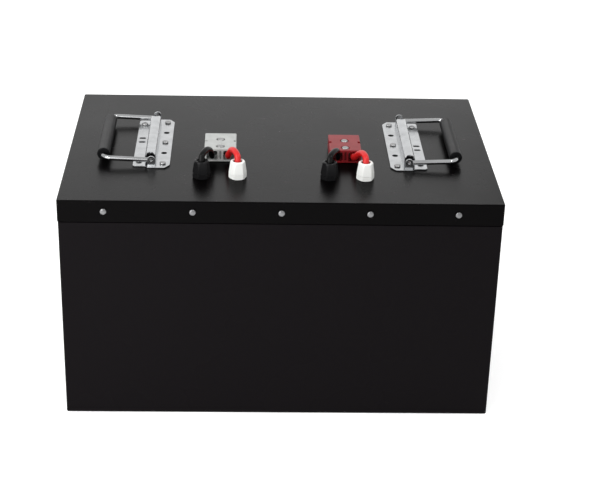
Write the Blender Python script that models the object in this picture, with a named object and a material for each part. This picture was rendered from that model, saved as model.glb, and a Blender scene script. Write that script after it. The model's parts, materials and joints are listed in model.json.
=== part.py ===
"""Battery pack: a steel case with a cap lid, two spring handles, two power connectors,
four cable glands, four short leads, and the cells and battery management unit inside.

Sizes are in millimetres and become metres in make_object. X runs along the case's length,
+Y to its back and +Z up. The origin is at the middle of the case's underside.
Build it with: blender --background --python part.py
"""
import math

import bmesh
import bpy
from mathutils import Matrix, Vector

MM = 0.001

# Case
CASE_LENGTH = 490.0
CASE_DEPTH = 325.0
CASE_HEIGHT = 270.0
SHEET = 1.5
FLANGE_DROP = 25.5
FIT = 0.3                      # gap left wherever two pieces would touch
CORNER_RADIUS = 2.2
LID_EDGE = 1.2
TUB_EDGE = 1.6
TUB_INSET = 0.6                # how far the tub's faces lie behind the lid's flange
TUB_HEIGHT = CASE_HEIGHT - SHEET - FIT
SHOULDER = CASE_HEIGHT - FLANGE_DROP - FIT     # the tub's rim is stepped inwards above here
LID_TOP = CASE_HEIGHT
SEAT = LID_TOP + FIT           # height that fittings on the lid stand at

# Screws: M4 pan heads in the lid and handles, smaller ones in the connectors
LID_SCREW_PITCH = 97.2
LID_SCREW_COUNT = 5
LID_SCREW_DROP = 12.6
SCREW_HEAD_RADIUS = 3.8
SCREW_HEAD_HEIGHT = 2.4
SCREW_SHANK_RADIUS = 2.0
SCREW_HOLE_RADIUS = 2.4
SCREW_LENGTH = 9.0
SCREW_SIDES = 10

# Handle, measured outwards (u) from the middle of the lid, along Y and up from the lid
PLATE_THICKNESS = 1.2
PLATE_IN = 126.5
PLATE_OUT = 168.5
PLATE_INNER_HALF = 73.8
PLATE_OUTER_HALF = 70.0
PLATE_INNER_CUT = (5.5, 8.5)   # corner cut along u and Y
PLATE_OUTER_CUT = (2.0, 2.0)
INNER_ROW = 134.5
OUTER_ROW = 162.0
INNER_SCREWS = (-62.5, 0.0, 62.5)
OUTER_SCREWS = (-56.0, 56.0)
SPARE_HOLES = (-31.0, 31.0)
SPARE_HOLE_RADIUS = 3.4
SLOT_YS = (1.5, 13.5)
SLOT_LENGTH = 8.0
SLOT_WIDTH = 4.4
PIVOT_OUT = 148.75
PIVOT_UP = 6.6 + FIT
BARREL_IN = 142.5
BARREL_OUT = 155.0
BARREL_TOP = 12.6
BARREL_HALF = 59.3
BARREL_ROUND = 4.6
BARREL_WALL = 1.2
EAR_NEAR = 68.3
EAR_THICKNESS = 1.5
EAR_U = 147.2
EAR_HALF = 4.4
EAR_TOP = 13.2
EAR_HOLE_RADIUS = 1.6
NOTCH_RADIUS = 4.0             # half-round notch in the roof at each end of the barrel
WIRE_RADIUS = 2.8
ARM_HALF = 64.3
STUB_END = 30.0
STUB_BEND = 4.0
GRIP_OUT = 202.5
GRIP_UP = 9.0
GRIP_BEND = 9.0
GRIP_RADIUS = 7.4
GRIP_BORE = 3.15
GRIP_HALF = 54.0
SPRING_RADIUS = 3.9
SPRING_WIRE = 0.5
SPRING_TURNS = 6
SPRING_PITCH = 3.2
SPRING_START = -56.0

# Connectors
CONNECTOR_X = {"grey": -69.0, "red": 75.0}
HOUSING_WIDTH = 36.5
HOUSING_HEIGHT = 15.9
HOUSING_BACK = -4.0
HOUSING_FRONT = -52.0
HOUSING_BEVEL = 0.8
CONTACT_OFFSET = 9.2
CONTACT_UP = 8.0
CABLE_HOLE_RADIUS = 5.7
MOUTH_IN = 3.4                 # the two open cable mouths, either side of a middle web
MOUTH_OUT = 15.9
MOUTH_LOW = 2.0
MOUTH_BACK = -41.0
WEB_SLOT_WIDTH = 2.0
WEB_SLOT_LOW = 3.5
WEB_SLOT_DEPTH = 3.0
CHAMBER_WIDTH = 12.0
CHAMBER_LOW = 2.4
CHAMBER_HIGH = 13.4
CHAMBER_FRONT = -31.0
HOUSING_SCREWS = (-22.5, -43.5)
HOUSING_SCREW_HOLE = 1.9
HOUSING_SCREW_SHANK = 1.5
HOUSING_SCREW_HEAD = 4.2
HOUSING_SCREW_HEAD_HEIGHT = 2.4
HOUSING_SCREW_LENGTH = 20.0
COUNTERBORE_RADIUS = 5.0
COUNTERBORE_DEPTH = 1.6
NOTCH_Y = -27.5
NOTCH_LENGTH = 4.6
NOTCH_DEPTH = 3.0
NOTCH_FLOOR = 14.0
LEAD_START = -36.5
CRIMP_RADIUS = 4.2
CRIMP_LENGTH = 10.2
BLADE_HALF = 4.0
BLADE_LOW = -3.2
BLADE_THICKNESS = 2.0
BLADE_TIP = -7.0               # Y where the blade's tip begins

# Glands
GLAND_Y = -95.0
GLAND_OFFSET = 20.3
GLAND_FLATS = 18.0
GLAND_TURN = math.radians(9.0)
FLANGE_HEIGHT = 5.0
THREAD_RADIUS = 7.6
THREAD_HOLE_RADIUS = 8.0
THREAD_DOWN = -9.5
NECK_RADIUS = 6.3
NECK_TOP = 13.0
GLAND_BORE = 4.4
NUT_LOW = FLANGE_HEIGHT + FIT
NUT_TAPER = 0.86               # the nut's flats lean in to this share of their width
NUT_FOOT_RADIUS = 10.3
NUT_SHOULDER = 18.0
NUT_SHOULDER_RADIUS = 8.4
NUT_TOP = 20.0
NUT_BORE = 6.8
NUT_MOUTH = 4.6
NUT_MOUTH_CHAMFER = 1.0

# Leads
LEAD_RADIUS = 3.6
LEAD_STEP = 6.0

# Inside
PAD_THICKNESS = 4.0
CELL_THICKNESS = 36.7
CELL_WIDTH = 130.3
CELL_HEIGHT = 200.5
CELLS_PER_BLOCK = 6
CELL_SEAM = 1.2
CELLS_BACK = 155.8
TERMINAL_RADIUS = 6.0
TERMINAL_HEIGHT = 4.0
TERMINAL_OFFSET = 45.0
CELL_LOW = SHEET + 2 * FIT + PAD_THICKNESS
BOARD_THICKNESS = 4.0
BOARD_MARGIN = 3.0
BAR_THICKNESS = 3.0
BAR_DEPTH = 22.0
BOARD_LOW = CELL_LOW + CELL_HEIGHT + TERMINAL_HEIGHT + FIT
BAR_TOP = BOARD_LOW + BOARD_THICKNESS + BAR_THICKNESS
UNIT_LENGTH = 300.0
UNIT_HEIGHT = 180.0
UNIT_Y = -129.0
UNIT_PLATE = 14.0
UNIT_FIN = 12.0
UNIT_FIN_COUNT = 13
STUD_RADIUS = 5.0
STUD_HEIGHT = 8.0
UNIT_TOP = SHEET + FIT + UNIT_HEIGHT + STUD_HEIGHT


def clear_scene():
    for item in list(bpy.data.objects):
        bpy.data.objects.remove(item, do_unlink=True)


def make_material(name, color, roughness, metallic=0.0):
    material = bpy.data.materials.new(name)
    material.use_nodes = True
    shader = material.node_tree.nodes["Principled BSDF"]
    shader.inputs["Base Color"].default_value = (*color, 1.0)
    shader.inputs["Roughness"].default_value = roughness
    shader.inputs["Metallic"].default_value = metallic
    return material


FINISHES = {
    "black_paint": ((0.02, 0.02, 0.021), 0.35, 0.0),
    "chrome": ((0.75, 0.75, 0.76), 0.15, 1.0),
    "zinc": ((0.62, 0.62, 0.6), 0.3, 1.0),
    "black_rubber": ((0.015, 0.015, 0.016), 0.55, 0.0),
    "spring_steel": ((0.35, 0.35, 0.36), 0.35, 1.0),
    "grey_plastic": ((0.42, 0.43, 0.41), 0.45, 0.0),
    "red_plastic": ((0.5, 0.03, 0.03), 0.4, 0.0),
    "silver_plate": ((0.8, 0.79, 0.77), 0.25, 1.0),
    "black_nylon": ((0.02, 0.02, 0.022), 0.4, 0.0),
    "white_nylon": ((0.75, 0.76, 0.74), 0.4, 0.0),
    "black_sleeve": ((0.012, 0.012, 0.012), 0.4, 0.0),
    "red_sleeve": ((0.5, 0.02, 0.015), 0.4, 0.0),
    "cell_can": ((0.1, 0.22, 0.5), 0.4, 0.0),
    "board": ((0.03, 0.18, 0.08), 0.5, 0.0),
    "heat_sink": ((0.5, 0.5, 0.5), 0.4, 1.0),
    "foam": ((0.05, 0.05, 0.05), 0.9, 0.0),
}


def make_object(name, mesh, finish=None, place=(0.0, 0.0, 0.0), parent=None, smooth_angle=30.0):
    """Turn a bmesh in millimetres into an object in metres, with its own material."""
    if isinstance(mesh, bmesh.types.BMesh):
        bmesh.ops.recalc_face_normals(mesh, faces=mesh.faces)
        bmesh.ops.scale(mesh, vec=(MM, MM, MM), verts=mesh.verts)
        data = bpy.data.meshes.new(name)
        mesh.to_mesh(data)
        mesh.free()
        data.shade_smooth()
        data.set_sharp_from_angle(angle=math.radians(smooth_angle))
    else:
        data = mesh
    item = bpy.data.objects.new(name, data)
    bpy.context.collection.objects.link(item)
    item.location = Vector(place) * MM
    item.parent = parent
    if finish:
        item.data.materials.append(make_material(name + "_" + finish, *FINISHES[finish]))
    return item


def combine(target, operation, mesh, place=(0.0, 0.0, 0.0)):
    """Add a live Boolean to the target, from a bmesh that stays as a hidden cutter."""
    order = len(target.modifiers)
    cutter = make_object(f"{target.name}_shape_{order}", mesh, place=place, parent=target.parent)
    cutter.hide_render = True
    cutter.display_type = "WIRE"
    boolean = target.modifiers.new(f"{operation.lower()}_{order}", "BOOLEAN")
    boolean.operation = operation
    boolean.solver = "EXACT"
    boolean.object = cutter


def prism(outline, low, high):
    """Extrude an outline in X and Y from one height to another."""
    mesh = bmesh.new()
    face = mesh.faces.new([mesh.verts.new((x, y, low)) for x, y in outline])
    grown = bmesh.ops.extrude_face_region(mesh, geom=[face])
    top = [part for part in grown["geom"] if isinstance(part, bmesh.types.BMVert)]
    bmesh.ops.translate(mesh, vec=(0.0, 0.0, high - low), verts=top)
    return mesh


def arc(centre, radius, start, end, steps):
    """Points on an arc, with its angles in degrees."""
    turn = [math.radians(start + (end - start) * i / steps) for i in range(steps + 1)]
    return [(centre[0] + radius * math.cos(a), centre[1] + radius * math.sin(a)) for a in turn]


def rounded_rectangle(length, depth, radius, steps=4):
    x = length / 2 - radius
    y = depth / 2 - radius
    points = []
    for (cx, cy), start in zip(((x, y), (-x, y), (-x, -y), (x, -y)), (0, 90, 180, 270)):
        points += arc((cx, cy), radius, start, start + 90, steps)
    return points


def hexagon(flats, turn=0.0):
    radius = flats / math.sqrt(3.0)
    angles = [turn + math.radians(60 * i) for i in range(6)]
    return [(radius * math.cos(a), radius * math.sin(a)) for a in angles]


def turned(profile, sides, closed=False):
    """Spin a profile of (radius, height) points about Z. An open one starts and ends on the axis."""
    mesh = bmesh.new()
    verts = [mesh.verts.new((r, 0.0, z)) for r, z in profile]
    edges = [mesh.edges.new(pair) for pair in zip(verts, verts[1:])]
    if closed:
        edges.append(mesh.edges.new((verts[-1], verts[0])))
    bmesh.ops.spin(mesh, geom=verts + edges, cent=(0, 0, 0), axis=(0, 0, 1),
                   angle=2 * math.pi, steps=sides, use_merge=True)
    bmesh.ops.remove_doubles(mesh, verts=mesh.verts, dist=1e-4)
    return mesh


def cylinder(radius, low, high, sides=16):
    return turned([(0.0, low), (radius, low), (radius, high), (0.0, high)], sides)


def moved(mesh, offset=(0.0, 0.0, 0.0), turn=None):
    if turn:
        bmesh.ops.transform(mesh, matrix=turn, verts=mesh.verts)
    bmesh.ops.translate(mesh, vec=offset, verts=mesh.verts)
    return mesh


def joined(meshes):
    """Gather bmeshes that don't touch each other into one, for a cutter with several parts."""
    total = bmesh.new()
    for mesh in meshes:
        data = bpy.data.meshes.new("part")
        mesh.to_mesh(data)
        mesh.free()
        total.from_mesh(data)
        bpy.data.meshes.remove(data)
    return total


def mirrored(mesh, side):
    """Flip a shape made for the right-hand side (+1) when the left-hand one (-1) is wanted."""
    if side < 0:
        bmesh.ops.scale(mesh, vec=(-1.0, 1.0, 1.0), verts=mesh.verts)
        bmesh.ops.reverse_faces(mesh, faces=mesh.faces)
    return mesh


ALONG_Y = Matrix.Rotation(math.radians(-90), 4, "X")     # turns +Z to +Y
UPRIGHT = Matrix.Rotation(math.radians(90), 4, "X")      # turns +Z to -Y, and +Y to +Z


def handle_screw_points(side):
    inner = [(side * INNER_ROW, y) for y in INNER_SCREWS]
    outer = [(side * OUTER_ROW, y) for y in OUTER_SCREWS]
    return inner + outer


def housing_screw_points():
    return [(x, y) for x in CONNECTOR_X.values() for y in HOUSING_SCREWS]


def gland_points():
    return [(x + s * GLAND_OFFSET, GLAND_Y) for x in CONNECTOR_X.values() for s in (-1, 1)]


def lid_screw_xs():
    middle = (LID_SCREW_COUNT - 1) / 2
    return [LID_SCREW_PITCH * (i - middle) for i in range(LID_SCREW_COUNT)]


def flange_hole_cutter():
    """One long drill for each screw pair, from the front flange right through to the back."""
    reach = CASE_DEPTH / 2 + 5
    height = LID_TOP - LID_SCREW_DROP
    return joined([moved(cylinder(SCREW_HOLE_RADIUS, -reach, reach, 12), (x, 0, height), ALONG_Y)
                   for x in lid_screw_xs()])


def case_outline(inset):
    """The case seen from above, drawn in from its outer faces by the inset."""
    return rounded_rectangle(CASE_LENGTH - 2 * inset, CASE_DEPTH - 2 * inset,
                             max(CORNER_RADIUS - inset, SHEET / 3))


def make_case():
    tub = prism(case_outline(TUB_INSET), 0.0, SHOULDER)
    bottom = [e for e in tub.edges if all(v.co.z < 0.01 for v in e.verts)]
    bmesh.ops.bevel(tub, geom=bottom, offset=TUB_EDGE, segments=2, profile=0.5, affect="EDGES",
                    material=-1)
    tub = make_object("case_tub", tub, "black_paint")
    combine(tub, "UNION", prism(case_outline(SHEET + FIT), SHOULDER / 2, TUB_HEIGHT))
    combine(tub, "DIFFERENCE", prism(case_outline(TUB_INSET + SHEET), SHEET, SHOULDER - SHEET))
    rim_inside = prism(case_outline(2 * SHEET + FIT), SHOULDER / 2, CASE_HEIGHT + 10)
    combine(tub, "DIFFERENCE", rim_inside)
    combine(tub, "DIFFERENCE", flange_hole_cutter())

    lid = prism(case_outline(0.0), LID_TOP - FLANGE_DROP, LID_TOP)
    top = [e for e in lid.edges if all(v.co.z > LID_TOP - 0.01 for v in e.verts)]
    bmesh.ops.bevel(lid, geom=top, offset=LID_EDGE, segments=2, profile=0.5, affect="EDGES",
                    material=-1)
    lid = make_object("case_lid", lid, "black_paint")
    inside = prism(case_outline(SHEET), LID_TOP - FLANGE_DROP - 10, LID_TOP - SHEET)
    combine(lid, "DIFFERENCE", inside)
    combine(lid, "DIFFERENCE", flange_hole_cutter())
    drill = (LID_TOP - 5, LID_TOP + 5)
    holes = [moved(cylinder(SCREW_HOLE_RADIUS, *drill, 12), (x, y, 0))
             for side in (-1, 1) for x, y in handle_screw_points(side)]
    holes += [moved(cylinder(HOUSING_SCREW_HOLE, *drill, 12), (x, y, 0))
              for x, y in housing_screw_points()]
    holes += [moved(cylinder(THREAD_HOLE_RADIUS, *drill, 20), (x, y, 0))
              for x, y in gland_points()]
    combine(lid, "DIFFERENCE", joined(holes))


def pan_head(head, height, shank, length):
    """A screw along Z, with the seat of its head at zero."""
    return [(0, height), (head * 0.75, height * 0.85), (head, height * 0.3), (head, 0),
            (shank, 0), (shank, -length), (0, -length)]


def make_lid_screws():
    seat = CASE_DEPTH / 2 + FIT
    for face, side in (("front", -1), ("back", 1)):
        for number, x in enumerate(lid_screw_xs(), 1):
            screw = turned(pan_head(SCREW_HEAD_RADIUS, SCREW_HEAD_HEIGHT, SCREW_SHANK_RADIUS,
                                    SCREW_LENGTH), SCREW_SIDES)
            turn = ALONG_Y if side > 0 else UPRIGHT
            make_object(f"lid_screw_{face}_{number}", moved(screw, turn=turn), "zinc",
                        (x, side * seat, LID_TOP - LID_SCREW_DROP))


def plate_outline():
    """The stamped plate seen from above: a long inner strip and a shorter outer one."""
    inner, outer = PLATE_INNER_HALF, PLATE_OUTER_HALF
    inner_u, inner_y = PLATE_INNER_CUT
    outer_u, outer_y = PLATE_OUTER_CUT
    half = [(PLATE_OUT, outer - outer_y), (PLATE_OUT - outer_u, outer), (BARREL_OUT, outer),
            (BARREL_OUT - inner + outer, inner), (PLATE_IN + inner_u, inner),
            (PLATE_IN, inner - inner_y)]
    return half + [(u, -y) for u, y in reversed(half)]


def barrel_outline():
    """The raised barrel's section, an arch open underneath."""
    low = PLATE_THICKNESS / 2
    radius = BARREL_ROUND
    top = BARREL_TOP - radius
    right = (BARREL_OUT - radius, top)
    left = (BARREL_IN + radius, top)
    outside = [(BARREL_OUT, low)] + arc(right, radius, 0, 90, 5) + arc(left, radius, 90, 180, 5)
    outside.append((BARREL_IN, low))
    small = radius - BARREL_WALL
    inside = [(BARREL_IN + BARREL_WALL, low)] + arc(left, small, 180, 90, 5)
    inside += arc(right, small, 90, 0, 5) + [(BARREL_OUT - BARREL_WALL, low)]
    return outside + inside


def ear_outline():
    """An ear's face: straight sides with a round top."""
    low = PLATE_THICKNESS / 2
    return ([(EAR_U + EAR_HALF, low)] + arc((EAR_U, EAR_TOP - EAR_HALF), EAR_HALF, 0, 180, 12)
            + [(EAR_U - EAR_HALF, low)])


def slot_outline(centre):
    """A slot with round ends, lying along u."""
    reach = (SLOT_LENGTH - SLOT_WIDTH) / 2
    radius = SLOT_WIDTH / 2
    right = arc((centre[0] + reach, centre[1]), radius, -90, 90, 6)
    return right + arc((centre[0] - reach, centre[1]), radius, 90, 270, 6)


def make_handle_plate(name, side):
    place = (0.0, 0.0, SEAT)
    plate = prism(plate_outline(), 0.0, PLATE_THICKNESS)
    plate = make_object(name, mirrored(plate, side), "chrome", place)
    barrel = moved(prism(barrel_outline(), -BARREL_HALF, BARREL_HALF), turn=UPRIGHT)
    combine(plate, "UNION", mirrored(barrel, side), place)
    ears = joined([moved(prism(ear_outline(), low, low + EAR_THICKNESS), turn=UPRIGHT)
                   for low in (EAR_NEAR, -EAR_NEAR - EAR_THICKNESS)])
    combine(plate, "UNION", mirrored(ears, side), place)
    holes = [(x, y, SCREW_HOLE_RADIUS) for x, y in handle_screw_points(1)]
    holes += [(INNER_ROW, y, SPARE_HOLE_RADIUS) for y in SPARE_HOLES]
    drills = [moved(cylinder(r, -5, 5, 12), (x, y, 0)) for x, y, r in holes]
    drills += [prism(slot_outline((OUTER_ROW, -side * y)), -5, 5) for y in SLOT_YS]
    drills += [moved(cylinder(NOTCH_RADIUS, BARREL_TOP - 3, BARREL_TOP + 3, 20), (PIVOT_OUT, y, 0))
               for y in (-BARREL_HALF, BARREL_HALF)]
    for y in (EAR_NEAR, -EAR_NEAR - EAR_THICKNESS):
        drill = cylinder(EAR_HOLE_RADIUS, -1, EAR_THICKNESS + 1, 12)
        drills.append(moved(drill, (EAR_U, y, EAR_TOP - EAR_HALF), ALONG_Y))
    combine(plate, "DIFFERENCE", mirrored(joined(drills), side), place)


def bail_route():
    """The wire's centre line from one stub to the other, from the pivot, lying outwards."""
    reach = math.hypot(GRIP_OUT - PIVOT_OUT, GRIP_UP - PIVOT_UP)
    bend = arc((STUB_BEND, ARM_HALF - STUB_BEND), STUB_BEND, 180, 90, 5)
    corner = arc((reach - GRIP_BEND, ARM_HALF - GRIP_BEND), GRIP_BEND, 90, 0, 6)
    half = [(0.0, STUB_END)] + bend + corner
    return half + [(u, -y) for u, y in reversed(half)]


def make_curve(name, points, radius, resolution):
    """A round wire or tube along points in millimetres."""
    curve = bpy.data.curves.new(name, "CURVE")
    curve.dimensions = "3D"
    curve.bevel_depth = radius * MM
    curve.bevel_resolution = resolution
    curve.use_fill_caps = True
    spline = curve.splines.new("POLY")
    spline.points.add(len(points) - 1)
    for target, point in zip(spline.points, points):
        target.co = (*(Vector(point) * MM), 1.0)
    return curve


def make_bail(name, side, pivot):
    tilt = math.atan2(GRIP_UP - PIVOT_UP, GRIP_OUT - PIVOT_OUT)
    points = [(side * u * math.cos(tilt), y, u * math.sin(tilt)) for u, y in bail_route()]
    make_object(name + "_bail", make_curve(name + "_bail", points, WIRE_RADIUS, 2), "chrome",
                parent=pivot)
    soft = 1.2
    half = GRIP_HALF
    profile = [(GRIP_BORE, -half), (GRIP_RADIUS - soft, -half), (GRIP_RADIUS, -half + soft),
               (GRIP_RADIUS, half - soft), (GRIP_RADIUS - soft, half), (GRIP_BORE, half)]
    grip = moved(turned(profile, 20, closed=True), turn=ALONG_Y)
    place = (side * (GRIP_OUT - PIVOT_OUT), 0.0, GRIP_UP - PIVOT_UP)
    make_object(name + "_grip", grip, "black_rubber", place, pivot)


def make_spring(name, side):
    """The return spring, coiled around the near stub of the bail with clearance."""
    per_turn = 8
    points = []
    for i in range(SPRING_TURNS * per_turn + 1):
        angle = 2 * math.pi * i / per_turn
        points.append((side * SPRING_RADIUS * math.sin(angle),
                       SPRING_START + SPRING_PITCH * i / per_turn,
                       SPRING_RADIUS * math.cos(angle)))
    make_object(name, make_curve(name, points, SPRING_WIRE, 1), "spring_steel",
                (side * PIVOT_OUT, 0.0, LID_TOP + PIVOT_UP))


def make_handles():
    for label, side in (("left", -1), ("right", 1)):
        name = label + "_handle"
        make_handle_plate(name + "_plate", side)
        pivot = bpy.data.objects.new(name + "_pivot", None)
        bpy.context.collection.objects.link(pivot)
        pivot.location = Vector((side * PIVOT_OUT, 0.0, LID_TOP + PIVOT_UP)) * MM
        make_bail(name, side, pivot)
        make_spring(name + "_spring", side)
        for number, (x, y) in enumerate(handle_screw_points(side), 1):
            screw = turned(pan_head(SCREW_HEAD_RADIUS, SCREW_HEAD_HEIGHT, SCREW_SHANK_RADIUS,
                                    SCREW_LENGTH), SCREW_SIDES)
            make_object(f"{name}_screw_{number}", screw, "zinc",
                        (x, y, SEAT + PLATE_THICKNESS + FIT))


def box(low, high):
    mesh = bmesh.new()
    bmesh.ops.create_cube(mesh, size=1.0)
    size = [b - a for a, b in zip(low, high)]
    bmesh.ops.scale(mesh, vec=size, verts=mesh.verts)
    bmesh.ops.translate(mesh, vec=[(a + b) / 2 for a, b in zip(low, high)], verts=mesh.verts)
    return mesh


def make_housing(name, finish, x):
    place = (x, 0.0, SEAT)
    half = HOUSING_WIDTH / 2
    shell = box((-half, HOUSING_FRONT, 0), (half, HOUSING_BACK, HOUSING_HEIGHT))
    bmesh.ops.bevel(shell, geom=shell.edges[:], offset=HOUSING_BEVEL, segments=1, profile=0.5,
                    affect="EDGES", material=-1)
    shell = make_object(name, shell, finish, place)
    depth = CHAMBER_FRONT - HOUSING_FRONT
    tunnels = [moved(cylinder(CABLE_HOLE_RADIUS, -2, depth + 1, 16),
                     (s * CONTACT_OFFSET, HOUSING_FRONT, CONTACT_UP), ALONG_Y) for s in (-1, 1)]
    combine(shell, "DIFFERENCE", joined(tunnels), place)
    chambers = [box((s * CONTACT_OFFSET - CHAMBER_WIDTH / 2, CHAMBER_FRONT, CHAMBER_LOW),
                    (s * CONTACT_OFFSET + CHAMBER_WIDTH / 2, HOUSING_BACK + 2, CHAMBER_HIGH))
                for s in (-1, 1)]
    chambers += [box((min(s * MOUTH_IN, s * MOUTH_OUT), HOUSING_FRONT - 2, MOUTH_LOW),
                     (max(s * MOUTH_IN, s * MOUTH_OUT), MOUTH_BACK, CHAMBER_HIGH))
                 for s in (-1, 1)]
    chambers.append(box((-WEB_SLOT_WIDTH / 2, HOUSING_FRONT - 2, WEB_SLOT_LOW),
                        (WEB_SLOT_WIDTH / 2, HOUSING_FRONT + WEB_SLOT_DEPTH, CHAMBER_HIGH)))
    combine(shell, "DIFFERENCE", joined(chambers), place)
    floor = HOUSING_HEIGHT - COUNTERBORE_DEPTH
    above = HOUSING_HEIGHT + 2
    bore = [(0, -2), (HOUSING_SCREW_HOLE, -2), (HOUSING_SCREW_HOLE, floor),
            (COUNTERBORE_RADIUS, floor), (COUNTERBORE_RADIUS, above), (0, above)]
    cuts = [moved(turned(bore, 16), (0, y, 0)) for y in HOUSING_SCREWS]
    for s in (-1, 1):
        low = min(s * (half - NOTCH_DEPTH), s * (half + 2))
        cuts.append(box((low, NOTCH_Y - NOTCH_LENGTH / 2, NOTCH_FLOOR),
                        (low + NOTCH_DEPTH + 2, NOTCH_Y + NOTCH_LENGTH / 2, above)))
    combine(shell, "DIFFERENCE", joined(cuts), place)


def make_contact(name, x):
    """A flat blade with a round barrel that the lead's wire is crimped into."""
    front = LEAD_START + FIT
    back = front + CRIMP_LENGTH
    barrel = moved(cylinder(CRIMP_RADIUS, front, back, 12), turn=ALONG_Y)
    place = (x, 0, SEAT + CONTACT_UP)
    contact = make_object(name, barrel, "silver_plate", place)
    top = BLADE_LOW + BLADE_THICKNESS
    blade = [(back - 3, BLADE_LOW), (BLADE_TIP - 3, BLADE_LOW), (BLADE_TIP, BLADE_LOW + 1.5),
             (BLADE_TIP - 0.4, top + 0.7), (BLADE_TIP - 3.4, top), (back - 3, top)]
    side_on = Matrix(((0, 0, 1, 0), (1, 0, 0, 0), (0, 1, 0, 0), (0, 0, 0, 1)))
    combine(contact, "UNION", moved(prism(blade, -BLADE_HALF, BLADE_HALF), turn=side_on), place)


def make_connectors():
    for colour, x in CONNECTOR_X.items():
        make_housing(f"{colour}_connector_housing", f"{colour}_plastic", x)
        for label, s in (("left", -1), ("right", 1)):
            make_contact(f"{colour}_connector_contact_{label}", x + s * CONTACT_OFFSET)
        for label, y in zip(("back", "front"), HOUSING_SCREWS):
            shape = pan_head(HOUSING_SCREW_HEAD, HOUSING_SCREW_HEAD_HEIGHT, HOUSING_SCREW_SHANK,
                             HOUSING_SCREW_LENGTH)
            make_object(f"{colour}_connector_screw_{label}", turned(shape, SCREW_SIDES), "zinc",
                        (x, y, SEAT + HOUSING_HEIGHT - COUNTERBORE_DEPTH + FIT))


def make_gland(name, finish, x):
    place = (x, GLAND_Y, SEAT)
    core = [(0, THREAD_DOWN), (THREAD_RADIUS, THREAD_DOWN), (THREAD_RADIUS, 2), (NECK_RADIUS, 2),
            (NECK_RADIUS, NECK_TOP), (0, NECK_TOP)]
    body = make_object(name + "_body", turned(core, 20), finish, place)
    combine(body, "UNION", prism(hexagon(GLAND_FLATS, GLAND_TURN), 0.0, FLANGE_HEIGHT), place)
    combine(body, "DIFFERENCE", cylinder(GLAND_BORE, THREAD_DOWN - 2, NECK_TOP + 2, 16), place)

    nut = prism(hexagon(GLAND_FLATS, GLAND_TURN), NUT_LOW, NUT_TOP)
    top = [v for v in nut.verts if v.co.z > NUT_SHOULDER]
    bmesh.ops.scale(nut, vec=(NUT_TAPER, NUT_TAPER, 1.0), verts=top)
    nut = make_object(name + "_nut", nut, finish, place)
    turn = NUT_TOP - NUT_SHOULDER
    crown = arc((NUT_SHOULDER_RADIUS - turn, NUT_SHOULDER), turn, 0, 90, 4)
    cone = [(0, NUT_LOW - 1), (NUT_FOOT_RADIUS, NUT_LOW - 1), (NUT_FOOT_RADIUS, NUT_LOW)]
    combine(nut, "INTERSECT", turned(cone + crown + [(0, NUT_TOP)], 24), place)
    step = NECK_TOP + 1.5
    wide = NUT_MOUTH + NUT_MOUTH_CHAMFER
    bore = [(0, -2), (NUT_BORE, -2), (NUT_BORE, step), (NUT_MOUTH, step),
            (NUT_MOUTH, NUT_TOP - NUT_MOUTH_CHAMFER), (wide, NUT_TOP), (wide, NUT_TOP + 2),
            (0, NUT_TOP + 2)]
    combine(nut, "DIFFERENCE", turned(bore, 16), place)


def make_glands():
    for colour, x in CONNECTOR_X.items():
        for finish, s in (("black", -1), ("white", 1)):
            make_gland(f"{colour}_side_{finish}_gland", finish + "_nylon", x + s * GLAND_OFFSET)


def smooth_route(points, step):
    """Points along a smooth curve through the given ones, about one step apart."""
    route = [Vector(p) for p in points]
    route = [2 * route[0] - route[1]] + route + [2 * route[-1] - route[-2]]
    smooth = []
    for a, b, c, d in zip(route, route[1:], route[2:], route[3:]):
        count = max(1, round((c - b).length / step))
        for i in range(count):
            t = i / count
            smooth.append(0.5 * (2 * b + (c - a) * t + (2 * a - 5 * b + 4 * c - d) * t ** 2
                                 + (3 * b - a - 3 * c + d) * t ** 3))
    smooth.append(route[-2])
    return smooth


# Routes above and below the lid: offset from the connector's middle away from it, Y, and height
# above the lid. The first point meets the contact, and the gland's axis is the last above it.
ARCH = {
    ("grey", "black"): [(9.6, -64, 14.5), (11.8, -72, 23.0), (15.4, -81, 26.6), (19.5, -91.6, 25.2)],
    ("grey", "red"): [(9.8, -64, 14.5), (12.6, -72, 23.0), (16.0, -81, 26.6), (19.7, -91.6, 25.2)],
    ("red", "black"): [(9.4, -64, 15.0), (11.4, -72, 23.5), (15.0, -81, 26.2), (19.5, -91.6, 25.0)],
    ("red", "red"): [(10.4, -64, 13.0), (14.0, -72, 20.5), (17.6, -81, 24.8), (20.0, -91.6, 24.4)],
}
UNIT_DROP = UNIT_TOP + FIT - LID_TOP
BAR_DROP = BAR_TOP + FIT - LID_TOP
TAIL = {
    "black": [(GLAND_OFFSET, -95.5, -22), (GLAND_OFFSET, -103, -36), (GLAND_OFFSET, -120, -48),
              (GLAND_OFFSET, -128, -62), (GLAND_OFFSET, UNIT_Y, UNIT_DROP)],
    "red": [(GLAND_OFFSET, -95, -22), (GLAND_OFFSET, -92, -37), (GLAND_OFFSET, -91, BAR_DROP)],
}


def make_leads():
    for colour, x in CONNECTOR_X.items():
        for sleeve, s in (("black", -1), ("red", 1)):
            points = [(CONTACT_OFFSET, LEAD_START, CONTACT_UP + FIT)]
            points += [(CONTACT_OFFSET, -47, CONTACT_UP + FIT), (9.3, -56, 9.2)]
            points += ARCH[colour, sleeve]
            points += [(GLAND_OFFSET, -94.7, 20), (GLAND_OFFSET, -95, 13), (GLAND_OFFSET, -95, -10)]
            points += TAIL[sleeve]
            route = smooth_route([(x + s * u, y, LID_TOP + z) for u, y, z in points], LEAD_STEP)
            name = f"{colour}_side_{sleeve}_lead"
            make_object(name, make_curve(name, route, LEAD_RADIUS, 2), sleeve + "_sleeve")


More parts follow.
